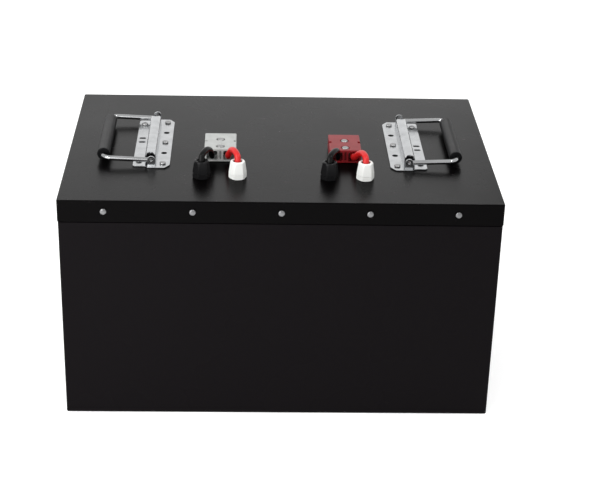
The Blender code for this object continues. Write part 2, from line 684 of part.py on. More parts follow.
def make_cell_block(name, low_x, low_y):
    """Six cells banded together, with a seam between each pair and two terminals on each."""
    length = CELLS_PER_BLOCK * CELL_THICKNESS
    near = []
    for i in range(1, CELLS_PER_BLOCK):
        seam = i * CELL_THICKNESS
        near += [(seam - CELL_SEAM, 0), (seam, CELL_SEAM), (seam + CELL_SEAM, 0)]
    far = [(x, CELL_WIDTH - y) for x, y in reversed(near)]
    outline = ([(0, 0)] + near + [(length - 2 * FIT, 0), (length - 2 * FIT, CELL_WIDTH)] + far
               + [(0, CELL_WIDTH)])
    place = (low_x, low_y, CELL_LOW)
    block = make_object(name, prism(outline, 0, CELL_HEIGHT), "cell_can", place)
    middle = CELL_WIDTH / 2
    posts = [moved(cylinder(TERMINAL_RADIUS, CELL_HEIGHT - 2, CELL_HEIGHT + TERMINAL_HEIGHT, 8),
                   ((i + 0.5) * CELL_THICKNESS, middle + s * TERMINAL_OFFSET, 0))
             for i in range(CELLS_PER_BLOCK) for s in (-1, 1)]
    combine(block, "UNION", joined(posts), place)


def make_busbar_board(name, low_y):
    """An insulating board over one row of cells, carrying the bars that link them."""
    half = CELLS_PER_BLOCK * CELL_THICKNESS
    place = (0, low_y, BOARD_LOW)
    board = box((-half + BOARD_MARGIN, BOARD_MARGIN, 0),
                (half - BOARD_MARGIN, CELL_WIDTH - BOARD_MARGIN, BOARD_THICKNESS))
    board = make_object(name, board, "board", place)
    bars = []
    pitch = 2 * CELL_THICKNESS
    for s in (-1, 1):
        y = CELL_WIDTH / 2 + s * TERMINAL_OFFSET
        for i in range(CELLS_PER_BLOCK):
            x = -half + i * pitch + BOARD_MARGIN * 2
            bars.append(box((x, y - BAR_DEPTH / 2, BOARD_THICKNESS - 1),
                            (x + pitch - BOARD_MARGIN * 4, y + BAR_DEPTH / 2,
                             BOARD_THICKNESS + BAR_THICKNESS)))
    combine(board, "UNION", joined(bars), place)


def make_management_unit():
    """An upright board behind a finned plate, with a stud for each black lead on top."""
    half = UNIT_LENGTH / 2
    pitch = UNIT_LENGTH / UNIT_FIN_COUNT
    outline = [(half, UNIT_PLATE / 2), (-half, UNIT_PLATE / 2), (-half, -UNIT_PLATE / 2)]
    for i in range(UNIT_FIN_COUNT):
        x = -half + (i + 0.3) * pitch
        outline += [(x, -UNIT_PLATE / 2), (x, -UNIT_PLATE / 2 - UNIT_FIN),
                    (x + pitch * 0.4, -UNIT_PLATE / 2 - UNIT_FIN), (x + pitch * 0.4, -UNIT_PLATE / 2)]
    outline.append((half, -UNIT_PLATE / 2))
    place = (0, UNIT_Y, SHEET + FIT)
    unit = make_object("management_unit", prism(outline, 0, UNIT_HEIGHT), "heat_sink", place)
    studs = [moved(cylinder(STUD_RADIUS, UNIT_HEIGHT - 2, UNIT_HEIGHT + STUD_HEIGHT, 12),
                   (x - GLAND_OFFSET, 0, 0)) for x in CONNECTOR_X.values()]
    combine(unit, "UNION", joined(studs), place)


def make_inside():
    block_length = CELLS_PER_BLOCK * CELL_THICKNESS
    rows = {"back": CELLS_BACK - CELL_WIDTH, "front": CELLS_BACK - 2 * CELL_WIDTH - 1.0}
    for row, low_y in rows.items():
        make_cell_block(f"cell_block_{row}_left", -block_length + FIT, low_y)
        make_cell_block(f"cell_block_{row}_right", FIT, low_y)
        make_busbar_board(f"busbar_board_{row}", low_y)
    pad_low = rows["front"] - 1
    pad = box((-block_length - 5, pad_low, SHEET + FIT),
              (block_length + 5, CELLS_BACK + 1, SHEET + FIT + PAD_THICKNESS))
    make_object("base_pad", pad, "foam")
    make_management_unit()


def main():
    clear_scene()
    make_case()
    make_lid_screws()
    make_handles()
    make_connectors()
    make_glands()
    make_leads()
    make_inside()


main()
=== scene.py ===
"""Battery pack: the visible pieces of a steel-cased battery, made around its fixed frame.

The frame gives every place and size. Lengths here are in metres, and X runs along the case,
+Y to its back and +Z up, with the origin at the middle of the case's underside.
"""

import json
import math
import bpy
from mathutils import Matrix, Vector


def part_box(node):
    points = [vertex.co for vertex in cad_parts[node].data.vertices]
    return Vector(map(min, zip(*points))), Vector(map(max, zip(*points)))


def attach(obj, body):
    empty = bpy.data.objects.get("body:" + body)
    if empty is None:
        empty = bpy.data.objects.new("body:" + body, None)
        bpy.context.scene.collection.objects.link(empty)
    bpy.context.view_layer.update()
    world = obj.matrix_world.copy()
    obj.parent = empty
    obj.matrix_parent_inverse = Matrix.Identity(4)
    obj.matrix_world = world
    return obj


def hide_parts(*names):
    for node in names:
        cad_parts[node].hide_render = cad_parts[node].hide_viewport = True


bl_info = {
    "name": "Battery Pack",
    "version": (1, 0, 0),
    "blender": (4, 5, 0),
    "location": "3D View > Sidebar > Battery",
    "description": "Makes a steel battery case with its handles, connectors, glands and leads",
    "category": "Add Mesh",
}

import bmesh
import bpy
from bpy.props import FloatProperty, FloatVectorProperty, PointerProperty
from bpy.types import Operator, Panel, PropertyGroup
from mathutils import Matrix, Vector

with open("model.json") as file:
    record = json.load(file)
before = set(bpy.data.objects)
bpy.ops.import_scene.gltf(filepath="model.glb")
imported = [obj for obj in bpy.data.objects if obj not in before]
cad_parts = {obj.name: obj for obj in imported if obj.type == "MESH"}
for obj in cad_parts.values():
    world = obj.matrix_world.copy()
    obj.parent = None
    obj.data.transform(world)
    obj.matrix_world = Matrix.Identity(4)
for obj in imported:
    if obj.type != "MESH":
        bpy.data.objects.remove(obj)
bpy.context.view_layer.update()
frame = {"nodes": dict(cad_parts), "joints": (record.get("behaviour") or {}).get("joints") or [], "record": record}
MM = 0.001
FIT = 0.3 * MM
SHARP_FROM = 32.0
SIDES = {"left": -1, "right": 1}
HUES = ("grey", "red")
LID_LOW, LID_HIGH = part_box("case_lid")
LID_TOP = LID_HIGH.z
NODE_SLOTS = {part["node"]: part["material_slot"] for part in frame["record"]["subparts"]}
JOINTS = {joint["child"]: joint for joint in frame["joints"]}


def centre_of(node):
    low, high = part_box(node)
    return (low + high) / 2


def size_of(node):
    low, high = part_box(node)
    return high - low


# ---------------------------------------- settings


def length(name, description, default):
    return FloatProperty(name=name, description=description, default=default, min=0.0,
                         precision=5, unit="LENGTH", subtype="DISTANCE")


def colour(name, description, default):
    return FloatVectorProperty(name=name, description=description, default=default, size=3,
                               min=0.0, max=1.0, subtype="COLOR")


def share(name, description, default):
    return FloatProperty(name=name, description=description, default=default, min=0.0, max=1.0,
                         subtype="FACTOR")


class CaseSettings(PropertyGroup):
    """Sheet-metal case and its paint"""
    sheet: length("Sheet", "Thickness of the folded sheet", 1.5 * MM)
    corner: length("Corner", "Radius of the upright corners", 2.2 * MM)
    fold: length("Fold", "Radius of the folded edges", 1.2 * MM)
    tub_paint: colour("Tub paint", "Powder coat colour of the tub", (0.0036, 0.0029, 0.0034))
    lid_paint: colour("Lid paint", "Powder coat colour of the lid", (0.0010, 0.0008, 0.0009))
    gloss: share("Roughness", "Roughness of the powder coat", 0.27)


class ScrewSettings(PropertyGroup):
    """Pan-head screws of the lid and handles"""
    slot_depth: length("Recess depth", "Depth of the cross recess", 1.3 * MM)
    metal: colour("Metal", "Zinc plating colour", (0.37, 0.37, 0.37))
    dull: colour("Dull metal", "Zinc plating colour of the lid's screws", (0.19, 0.19, 0.195))


class HandleSettings(PropertyGroup):
    """Folding spring handles"""
    wire: length("Wire", "Radius of the bail's wire", 2.8 * MM)
    plate: length("Plate", "Thickness of the stamped plate", 1.2 * MM)
    metal: colour("Metal", "Plating colour", (0.57, 0.58, 0.59))
    bail: colour("Bail", "Bright plating colour of the bail", (0.36, 0.365, 0.37))
    grip: colour("Grip", "Grip colour", (0.005, 0.005, 0.0055))


class ConnectorSettings(PropertyGroup):
    """Two-pole power connectors"""
    edge: length("Edge", "Radius of the housing's edges", 0.9 * MM)
    grey: colour("Grey", "Colour of the first housing", (0.38, 0.39, 0.38))
    red: colour("Red", "Colour of the second housing", (0.20, 0.009, 0.012))


class GlandSettings(PropertyGroup):
    """Cable glands"""
    flats: length("Flats", "Width across the flats", 18.0 * MM)
    turn: FloatProperty(name="Turn", description="Turn of the flats about the cable",
                        default=math.radians(9.0), subtype="ANGLE", unit="ROTATION")
    black: colour("Black", "Black nylon colour", (0.007, 0.007, 0.0075))
    white: colour("White", "White nylon colour", (0.71, 0.715, 0.695))


class LeadSettings(PropertyGroup):
    """Short leads from the connectors to the glands"""
    radius: length("Radius", "Radius of the sleeve", 3.6 * MM)
    black: colour("Black", "Black sleeve colour", (0.004, 0.004, 0.004))
    red: colour("Red", "Red sleeve colour", (0.52, 0.012, 0.012))


class StageSettings(PropertyGroup):
    """Camera, floor and lights"""
    lens: FloatProperty(name="Lens", description="Focal length", default=93.35, min=10.0,
                        unit="CAMERA", subtype="DISTANCE_CAMERA")
    floor: colour("Floor", "Floor colour", (0.9, 0.9, 0.9))
    glow: share("Floor glow", "Emission that evens out the white floor", 0.3)
    sky: FloatProperty(name="Sky", description="Strength of the white surround", default=1.05,
                       min=0.0)


GROUPS = {
    "battery_case": CaseSettings,
    "battery_screws": ScrewSettings,
    "battery_handles": HandleSettings,
    "battery_connectors": ConnectorSettings,
    "battery_glands": GlandSettings,
    "battery_leads": LeadSettings,
    "battery_stage": StageSettings,
}


def settings(name):
    return getattr(bpy.context.scene, "battery_" + name)


# ---------------------------------------- materials


class Wire:
    """An output socket that takes arithmetic, which adds Math nodes."""

    def __init__(self, paint, socket):
        self.paint = paint
        self.socket = socket

    def maths(self, operation, first, second):
        return self.paint.node("ShaderNodeMath", {"operation": operation}, (first, second))

    def __add__(self, other):
        return self.maths("ADD", self, other)

    __radd__ = __add__

    def __mul__(self, other):
        return self.maths("MULTIPLY", self, other)

    __rmul__ = __mul__

    def __sub__(self, other):
        return self.maths("SUBTRACT", self, other)

    def __rsub__(self, other):
        return self.maths("SUBTRACT", other, self)


class Paint:
    """A material under construction, with one way to add any node."""

    def __init__(self, name, base, roughness, metallic=0.0, specular=0.5, coat=0.0):
        self.material = bpy.data.materials.new(name)
        self.material.use_nodes = True
        self.tree = self.material.node_tree
        self.shader = self.tree.nodes["Principled BSDF"]
        self.base = (*base, 1.0)
        self.set("Base Color", self.base)
        self.set("Roughness", roughness)
        self.set("Metallic", metallic)
        self.set("Specular IOR Level", specular)
        self.set("Coat Weight", coat)
        self.place = self.node("ShaderNodeTexCoord", output="Object")

    def node(self, kind, options=None, values=(), output=0):
        made = self.tree.nodes.new(kind)
        for key, value in (options or {}).items():
            if key == "stops":
                for stop, (position, shade) in zip(made.color_ramp.elements, value):
                    stop.position = position
                    stop.color = (shade, shade, shade, 1.0)
            else:
                setattr(made, key, value)
        pairs = values.items() if isinstance(values, dict) else enumerate(values)
        for key, value in pairs:
            self.feed(made.inputs[key], value)
        return Wire(self, made.outputs[output])

    def feed(self, socket, value):
        if isinstance(value, Wire):
            self.tree.links.new(value.socket, socket)
        else:
            socket.default_value = value

    def set(self, socket, value):
        self.feed(self.shader.inputs[socket], value)

    def stretched(self, scale):
        return self.node("ShaderNodeMapping", values={"Vector": self.place, "Scale": scale})

    def noise(self, scale, detail=2.0, vector=None):
        return self.node("ShaderNodeTexNoise",
                         values={"Vector": vector or self.place, "Scale": scale, "Detail": detail})

    def pick(self, value, low, high):
        """A mask from 0 at low to 1 at high."""
        return self.node("ShaderNodeValToRGB", {"stops": ((low, 0.0), (high, 1.0))}, (value,))

    def mix(self, mask, first, second):
        return self.node("ShaderNodeMix", {"data_type": "RGBA"}, {0: mask, 6: first, 7: second},
                         output=2)

    def tint(self, factor):
        return tuple(min(1.0, part * factor) for part in self.base[:3]) + (1.0,)

    def bump(self, height, distance, strength=1.0):
        self.set("Normal", self.node("ShaderNodeBump", values={
            "Strength": strength, "Distance": distance, "Height": height}))


def powder_coat(name, base):
    """Fine orange peel, with soft rubbed patches and a little dust."""
    gloss = settings("case").gloss
    paint = Paint(name, base, gloss, specular=0.03)
    peel = paint.noise(760.0, 2.0)
    rubbed = paint.noise(11.0, 3.0)
    speck = paint.pick(paint.noise(420.0, 1.0), 0.70, 0.78)
    paint.set("Base Color", paint.mix(speck * 0.25, paint.base, paint.tint(2.6)))
    paint.set("Roughness", gloss - 0.04 + rubbed * 0.09 + speck * 0.1)
    paint.bump(peel, 0.05 * MM, 0.35)
    return paint.material


def plated(name, base, smooth, rough, stretch=(1.0, 1.0, 1.0)):
    """Plated metal with fine drawn lines and cloudy handling marks."""
    paint = Paint(name, base, smooth, metallic=1.0)
    lines = paint.noise(900.0, 2.0, paint.stretched(stretch))
    cloud = paint.noise(70.0, 3.0)
    paint.set("Base Color", paint.mix(paint.pick(cloud, 0.35, 0.8), paint.base, paint.tint(0.82)))
    paint.set("Roughness", smooth + lines * (rough - smooth) + cloud * 0.06)
    paint.bump(lines, 0.01 * MM, 0.3)
    return paint.material


def moulded(name, base, roughness, grain=1400.0, depth=0.012, specular=0.5, shift=0.85):
    """Moulded plastic with a fine spark-eroded grain and slight mottling."""
    paint = Paint(name, base, roughness, specular=specular)
    fine = paint.noise(grain, 2.0)
    mottle = paint.noise(120.0, 3.0)
    mask = paint.pick(mottle, 0.3, 0.75)
    paint.set("Base Color", paint.mix(mask, paint.base, paint.tint(shift)))
    paint.set("Roughness", roughness - 0.05 + mottle * 0.1)
    paint.bump(fine, depth * MM, 0.5)
    return paint.material


def printed_board():
    """Green glass laminate with its weave showing through."""
    paint = Paint("link_board", (0.02, 0.13, 0.06), 0.45)
    weave = paint.noise(500.0, 1.0, paint.stretched((1.0, 6.0, 1.0)))
    paint.set("Base Color", paint.mix(weave, paint.base, paint.tint(0.6)))
    return paint.material


FINISHES = {
    "black_paint": lambda: powder_coat("tub_powder_coat", settings("case").tub_paint),
    "lid_paint": lambda: powder_coat("lid_powder_coat", settings("case").lid_paint),
    "chrome": lambda: plated("satin_chrome", settings("handles").metal, 0.13, 0.24, (1, 0.15, 1)),
    "bright_wire": lambda: plated("bright_wire", settings("handles").bail, 0.07, 0.13),
    "zinc": lambda: plated("zinc_plate", settings("screws").metal, 0.2, 0.34),
    "dull_zinc": lambda: plated("dull_zinc_plate", settings("screws").dull, 0.24, 0.38),
    # The spring is near black: painted shade for the dark inside of the barrel.
    "spring_steel": lambda: plated("spring_painted_shade", (0.03, 0.03, 0.032), 0.3, 0.4),
    "silver_plate": lambda: plated("silver_plate", (0.80, 0.78, 0.74), 0.2, 0.3, (1, 0.2, 1)),
    "heat_sink": lambda: plated("extruded_aluminium", (0.55, 0.55, 0.56), 0.35, 0.5, (1, 1, 0.1)),
    "black_rubber": lambda: moulded("grip_vinyl", settings("handles").grip, 0.38, 900.0, 0.02, 0.05),
    "grey_plastic": lambda: moulded("grey_housing", settings("connectors").grey, 0.42),
    "red_plastic": lambda: moulded("red_housing", settings("connectors").red, 0.38,
                                   specular=0.35),
    "black_nylon": lambda: moulded("black_nylon", settings("glands").black, 0.25, specular=0.12),
    "white_nylon": lambda: moulded("white_nylon", settings("glands").white, 0.4, shift=0.95),
    "black_sleeve": lambda: moulded("black_silicone", settings("leads").black, 0.2, 700.0,
                                    specular=0.1),
    "red_sleeve": lambda: moulded("red_silicone", settings("leads").red, 0.3, 700.0,
                                  specular=0.3),
    # Near black on the walls and floor of the screws' cross recesses: painted shade.
    "recess": lambda: moulded("recess_painted_shade", (0.004, 0.004, 0.004), 0.6, specular=0.1),
    "cell_can": lambda: moulded("cell_wrap", (0.02, 0.09, 0.36), 0.35, 300.0, 0.02),
    "board": printed_board,
    "foam": lambda: moulded("base_foam", (0.03, 0.03, 0.03), 0.9, 500.0, 0.2),
}
made_finishes = {}


def finish(slot):
    if slot not in made_finishes:
        made_finishes[slot] = FINISHES[slot]()
    return made_finishes[slot]


# ---------------------------------------- mesh tools


def arc(centre, radius, start, end, steps):
    """Points on an arc, with its angles in degrees."""
    angles = [math.radians(start + (end - start) * i / steps) for i in range(steps + 1)]
    return [(centre[0] + radius * math.cos(a), centre[1] + radius * math.sin(a)) for a in angles]


def turned(profile, sides=48, closed=False):
    """Spin a profile of (radius, height) points about Z."""
    mesh = bmesh.new()
    verts = [mesh.verts.new((r, 0.0, z)) for r, z in profile]
    edges = [mesh.edges.new(pair) for pair in zip(verts, verts[1:])]
    if closed:
        edges.append(mesh.edges.new((verts[-1], verts[0])))
    bmesh.ops.spin(mesh, geom=verts + edges, cent=(0, 0, 0), axis=(0, 0, 1), angle=2 * math.pi,
                   steps=sides, use_merge=True)
    bmesh.ops.remove_doubles(mesh, verts=mesh.verts, dist=1e-6)
    bmesh.ops.recalc_face_normals(mesh, faces=mesh.faces)
    return mesh


def grown(mesh, faces):
    """Extrude faces, which stay in place, and return the new vertices, still to be moved."""
    result = bmesh.ops.extrude_face_region(mesh, geom=faces)
    return [part for part in result["geom"] if isinstance(part, bmesh.types.BMVert)]


def sliced(mesh, place, normal, clear=False):
    """Cut a mesh along a plane, drop what is outside if asked, and return the new edges."""
    result = bmesh.ops.bisect_plane(mesh, geom=mesh.verts[:] + mesh.edges[:] + mesh.faces[:],
                                    dist=1e-7, plane_co=place, plane_no=normal, clear_outer=clear)
    return [part for part in result["geom_cut"] if isinstance(part, bmesh.types.BMEdge)]


def sheet_blank(outline, holes, low, high):
    """A flat blank with round holes, given as (x, y, radius), from one height to another."""
    mesh = bmesh.new()
    loop = [mesh.verts.new((x, y, low)) for x, y in outline]
    for pair in zip(loop, loop[1:] + loop[:1]):
        mesh.edges.new(pair)
    for x, y, radius in holes:
        bmesh.ops.create_circle(mesh, segments=24, radius=radius,
                                matrix=Matrix.Translation((x, y, low)))
    bmesh.ops.triangle_fill(mesh, use_beauty=True, edges=mesh.edges[:])
    bmesh.ops.translate(mesh, vec=(0, 0, high - low), verts=grown(mesh, mesh.faces[:]))
    bmesh.ops.recalc_face_normals(mesh, faces=mesh.faces)
    bmesh.ops.dissolve_limit(mesh, angle_limit=math.radians(1), verts=mesh.verts,
                             edges=mesh.edges)
    return mesh


def block(low, high):
    """A plain box between two corners, as the start of a shape."""
    mesh = bmesh.new()
    low, high = Vector(low), Vector(high)
    size = high - low
    bmesh.ops.create_cube(mesh, size=1.0)
    bmesh.ops.scale(mesh, vec=size, verts=mesh.verts)
    bmesh.ops.translate(mesh, vec=(low + high) / 2, verts=mesh.verts)
    return mesh


def round_edges(mesh, width, segments=2, angle=40.0):
    """Bevel every edge that turns by more than the angle."""
    limit = math.radians(angle)
    sharp = [e for e in mesh.edges if len(e.link_faces) == 2 and e.calc_face_angle() > limit]
    bmesh.ops.bevel(mesh, geom=sharp, offset=width, segments=segments, profile=0.5,
                    affect="EDGES", material=-1, clamp_overlap=True)
    return mesh


def new_object(name, data):
    """An object that holds some data, linked to the scene."""
    item = bpy.data.objects.new(name, data)
    bpy.context.scene.collection.objects.link(item)
    return item


def placed(mesh, offset=(0, 0, 0), turn=None):
    """Turn a mesh about the origin, then shift it."""
    if turn:
        bmesh.ops.transform(mesh, matrix=turn, verts=mesh.verts)
    bmesh.ops.translate(mesh, vec=offset, verts=mesh.verts)
    return mesh


def stood_on(node, mesh):
    """Shift a mesh made about Z so that it stands on a node's own axis."""
    spot = centre_of(node)
    return placed(mesh, (spot.x, spot.y, 0))


def mirrored(mesh, side):
    """Flip a shape made for the right-hand side when the left-hand one is wanted."""
    if side < 0:
        bmesh.ops.scale(mesh, vec=(-1, 1, 1), verts=mesh.verts)
        bmesh.ops.reverse_faces(mesh, faces=mesh.faces)
    return mesh


def to_data(mesh, name="mesh"):
    """Store a bmesh as mesh data, and free it."""
    data = bpy.data.meshes.new(name)
    mesh.to_mesh(data)
    mesh.free()
    return data


def gathered(meshes):
    """Gather several separate shells in one bmesh."""
    total = bmesh.new()
    for mesh in meshes:
        data = to_data(mesh)
        total.from_mesh(data)
        bpy.data.meshes.remove(data)
    return total


def carved(mesh, cutters):
    """Cut shapes out of a closed mesh, and return the result as a bmesh."""
    target = new_object("blank", to_data(mesh))
    tools = []
    for cutter in cutters:
        tool = new_object("tool", to_data(cutter))
        cut = target.modifiers.new("cut", "BOOLEAN")
        cut.operation = "DIFFERENCE"
        cut.solver = "EXACT"
        cut.object = tool
        tools.append(tool)
    bpy.context.view_layer.update()
    result = bmesh.new()
    result.from_object(target, bpy.context.evaluated_depsgraph_get())
    for item in [target, *tools]:
        data = item.data
        bpy.data.objects.remove(item)
        bpy.data.meshes.remove(data)
    return result


def swept(name, points, radius, resolution=6):
    """A round wire or sleeve along points, as mesh data with closed ends."""
    curve = bpy.data.curves.new(name, "CURVE")
    curve.dimensions = "3D"
    curve.bevel_depth = radius
    curve.bevel_resolution = resolution
    curve.use_fill_caps = True
    spline = curve.splines.new("POLY")
    spline.points.add(len(points) - 1)
    for target, point in zip(spline.points, points):
        target.co = (*point, 1.0)
    carrier = new_object(name, curve)
    bpy.context.view_layer.update()
    data = bpy.data.meshes.new_from_object(carrier.evaluated_get(
        bpy.context.evaluated_depsgraph_get()))
    bpy.data.objects.remove(carrier)
    bpy.data.curves.remove(curve)
    mesh = bmesh.new()
    mesh.from_mesh(data)
    bpy.data.meshes.remove(data)
    bmesh.ops.remove_doubles(mesh, verts=mesh.verts, dist=1e-6)
    bmesh.ops.recalc_face_normals(mesh, faces=mesh.faces)
    return mesh


def add_piece(name, mesh, slot, nodes=(), body="case", look=None):
    """Link a finished mesh as a piece that rides on its body and stands for its CAD nodes."""
    data = to_data(mesh, name)
    data.shade_smooth()
    data.set_sharp_from_angle(angle=math.radians(SHARP_FROM))
    data.materials.append(finish(look or slot))
    piece = new_object(name, data)
    even = piece.modifiers.new("even_shading", "WEIGHTED_NORMAL")
    even.keep_sharp = True
    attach(piece, body)
    if nodes:
        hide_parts(*nodes)
    return piece


UP_TO_BACK = Matrix.Rotation(math.radians(-90), 4, "X")
UP_TO_FRONT = Matrix.Rotation(math.radians(90), 4, "X")


HEAD_RISE = 0.6
SHANK_SHARE = 0.5
RECESS_ARM = 0.74
RECESS_HALF = 0.21
RECESS_LINE = 0.3
RECESS_FLOOR = 0.62
# From one screw's recess to the next, in radians.
RECESS_STEP = 1.1


def cross_screw(head, height, shank, tip, recess):
    """A pan-head screw along Z with its seat at zero, and a cross recess in its head.

    The head's own faces over the cross stay in place, so they cover the recess.
    """
    dome = [(head * math.sin(math.radians(a)), height * (0.36 + 0.64 * math.cos(math.radians(a))))
            for a in range(0, 91, 15)]
    foot = [(head, height * 0.1), (head * 0.96, 0), (shank, 0), (shank, tip + shank * 0.4),
            (shank * 0.6, tip), (0, tip)]
    mesh = turned(dome + foot, 32)
    arm = head * RECESS_ARM
    half = head * RECESS_HALF
    for axis in (0, 1):
        for offset in (-arm, -half, half, arm):
            point = [0, 0, 0]
            point[axis] = offset
            normal = [0, 0, 0]
            normal[axis] = 1
            cap = [f for f in mesh.faces if f.calc_center_median().z > height * RECESS_LINE]
            geom = {part for f in cap for part in (*f.verts, *f.edges, f)}
            bmesh.ops.bisect_plane(mesh, geom=list(geom), dist=1e-6, plane_co=point,
                                   plane_no=normal)
    cross = []
    for face in mesh.faces:
        spot = face.calc_center_median()
        x, y = abs(spot.x), abs(spot.y)
        if spot.z > height * RECESS_LINE and min(x, y) < half and max(x, y) < arm:
            cross.append(face)
    floor = grown(mesh, cross)
    # The recess's walls and floor take the second material, which paints shade into the cross recess.
    for face in {face for vert in floor for face in vert.link_faces}:
        face.material_index = 1
    bmesh.ops.scale(mesh, vec=(RECESS_FLOOR, RECESS_FLOOR, 0.0), verts=floor)
    bmesh.ops.translate(mesh, vec=(0, 0, height - recess), verts=floor)
    return mesh


def add_screw(node, seat, turn):
    """Replace a plain CAD screw with one of its own size that has a cross recess."""
    box = size_of(node)
    head = min(box) / 2
    height = head * HEAD_RISE
    shank = head * SHANK_SHARE
    screw = cross_screw(head, height, shank, height - max(box), settings("screws").slot_depth)
    look = "dull_zinc" if node.startswith("lid") else "zinc"
    piece = add_piece(node.replace("screw", "pan_screw"), placed(screw, seat, turn), "zinc", [node],
                      look=look)
    # The second slot is the near-black recess material: painted shade in the cross recess.
    piece.data.materials.append(finish("recess"))


# ---------------------------------------- case

TUB_FOLD = 1.6
LID_SCREW_HOLE = 2.4 * MM
TOP_SCREW_HOLE = 2.3 * MM
GLAND_HOLE = 8.0 * MM


def open_box(node, open_up, corner, fold):
    """A folded sheet box from a CAD node's outer size, open upwards or downwards."""
    low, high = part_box(node)
    mesh = block(low, high)
    gone = max(mesh.faces, key=lambda f: f.calc_center_median().z * (1 if open_up else -1))
    closed_height = low.z if open_up else high.z
    bmesh.ops.delete(mesh, geom=[gone], context="FACES_ONLY")
    upright = [e for e in mesh.edges if abs(e.verts[0].co.z - e.verts[1].co.z) > 1e-4]
    bmesh.ops.bevel(mesh, geom=upright, offset=corner, segments=6, profile=0.5, affect="EDGES",
                    material=-1)
    rim = [e for e in mesh.edges if all(abs(v.co.z - closed_height) < 1e-5 for v in e.verts)]
    bmesh.ops.bevel(mesh, geom=rim, offset=fold, segments=4, profile=0.5, affect="EDGES",
                    material=-1)
    bmesh.ops.recalc_face_normals(mesh, faces=mesh.faces)
    return mesh


def thickened(mesh, sheet):
    """Give an open shell its wall, growing inwards."""
    bmesh.ops.solidify(mesh, geom=mesh.faces[:], thickness=sheet)
    bmesh.ops.recalc_face_normals(mesh, faces=mesh.faces)
    return mesh


def drill(x, y, z, radius, reach, turn=None):
    """A round cutter about a point, which reaches equally far on both sides of it."""
    profile = [(0, -reach), (radius, -reach), (radius, reach), (0, reach)]
    return placed(turned(profile, 32), (x, y, z), turn)


def screw_nodes():
    return [name for name in sorted(frame["nodes"]) if "_screw_" in name]


def step_rim(mesh, shoulder, inwards):
    """Draw the tub's rim inwards above the shoulder, so that the lid's flange lies over it."""
    for height in (shoulder, shoulder + inwards / 2):
        sliced(mesh, (0, 0, height), (0, 0, 1))
    rim = [v for v in mesh.verts if v.co.z > shoulder + inwards / 4]
    half = max(v.co.x for v in rim), max(v.co.y for v in rim)
    bmesh.ops.scale(mesh, vec=(1 - inwards / half[0], 1 - inwards / half[1], 1), verts=rim)
    return mesh


class BATTERY_OT_case(Operator):
    """Fold the tub and the lid from sheet and drill the lid for what stands on it"""
    bl_idname = "battery.case"
    bl_label = "Case"

    def execute(self, context):
        case = settings("case")
        tub = open_box("case_tub", True, case.corner, case.fold * TUB_FOLD)
        step = case.sheet + FIT - (LID_HIGH.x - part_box("case_tub")[1].x)
        tub = thickened(step_rim(tub, LID_LOW.z - FIT - step, step), case.sheet)
        add_piece("folded_tub", tub, "black_paint", ["case_tub"])
        lid = thickened(open_box("case_lid", False, case.corner, case.fold), case.sheet)
        tools = []
        for name in screw_nodes():
            spot = centre_of(name)
            if name.startswith("lid_screw"):
                tools.append(drill(spot.x, spot.y, spot.z, LID_SCREW_HOLE, 9 * MM, UP_TO_BACK))
            else:
                tools.append(drill(spot.x, spot.y, LID_TOP, TOP_SCREW_HOLE, 5 * MM))
        for name in frame["nodes"]:
            if name.endswith("gland_body"):
                spot = centre_of(name)
                tools.append(drill(spot.x, spot.y, LID_TOP, GLAND_HOLE, 5 * MM))
        add_piece("folded_lid", carved(lid, [gathered(tools)]), "black_paint", ["case_lid"],
                  look="lid_paint")
        return {"FINISHED"}


class BATTERY_OT_screws(Operator):
    """Set cross-recess screws in the lid's flange, the handles and the connectors"""
    bl_idname = "battery.screws"
    bl_label = "Screws"

    def execute(self, context):
        for number, name in enumerate(screw_nodes()):
            low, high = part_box(name)
            seat = (low + high) / 2
            rise = min(high - low) / 2 * HEAD_RISE
            turn = Matrix.Identity(4)
            if name.startswith("lid_screw_front"):
                turn = UP_TO_FRONT
                seat.y = low.y + rise
            elif name.startswith("lid_screw_back"):
                turn = UP_TO_BACK
                seat.y = high.y - rise
            else:
                seat.z = high.z - rise
            add_screw(name, seat, turn @ Matrix.Rotation(number * RECESS_STEP, 4, "Z"))
        return {"FINISHED"}


# ---------------------------------------- handles

# Both handles are made as the right-hand one, where U runs along X to the outside.
BARREL_ROUND = 4.6 * MM
BARREL_WALL = 1.2 * MM
BARREL_WIDTH = 12.5 * MM
BARREL_TOP = 12.6 * MM
BARREL_HALF = 59.3 * MM
BARREL_FLARE = 1.2 * MM
# How far up in the plate's thickness the barrel and ears start.
BARREL_FOOT = 0.6
NOTCH_RADIUS = 4.0 * MM
NOTCH_UP = 13 * MM
EAR_U = 147.2 * MM
EAR_HALF = 4.4 * MM
EAR_HOLE = 1.6 * MM
EAR_THICKNESS = 1.5 * MM
EAR_Y = 68.3 * MM
OUTER_HALF = 70 * MM
OUTER_CUT = 2 * MM
INNER_CUT = 5.5 * MM, 8.5 * MM
PLATE_CORNER = 1.6 * MM
INNER_ROW = 8 * MM
OUTER_ROW = 6.5 * MM
INNER_SCREWS = -62.5 * MM, 0.0, 62.5 * MM
OUTER_SCREWS = -56 * MM, 56 * MM
SCREW_HOLE = 2.4 * MM
SPARE_HOLES = -31 * MM, 31 * MM
SPARE_HOLE = 3.4 * MM
SLOT_YS = 1.5 * MM, 13.5 * MM
SLOT_REACH = 1.8 * MM
SLOT_ROUND = 2.2 * MM
STAMPED_EDGE = 0.4 * MM
FOLDED_EDGE = 0.35 * MM


def handle_outline(low, high, barrel_out):
    """The stamped plate from above: a long inner strip, and a shorter outer one."""
    inner_half = high.y
    half = [(high.x, OUTER_HALF - OUTER_CUT), (high.x - OUTER_CUT, OUTER_HALF),
            (barrel_out, OUTER_HALF), (barrel_out - inner_half + OUTER_HALF, inner_half),
            (low.x + INNER_CUT[0], inner_half), (low.x, inner_half - INNER_CUT[1])]
    return half + [(u, -y) for u, y in reversed(half)]


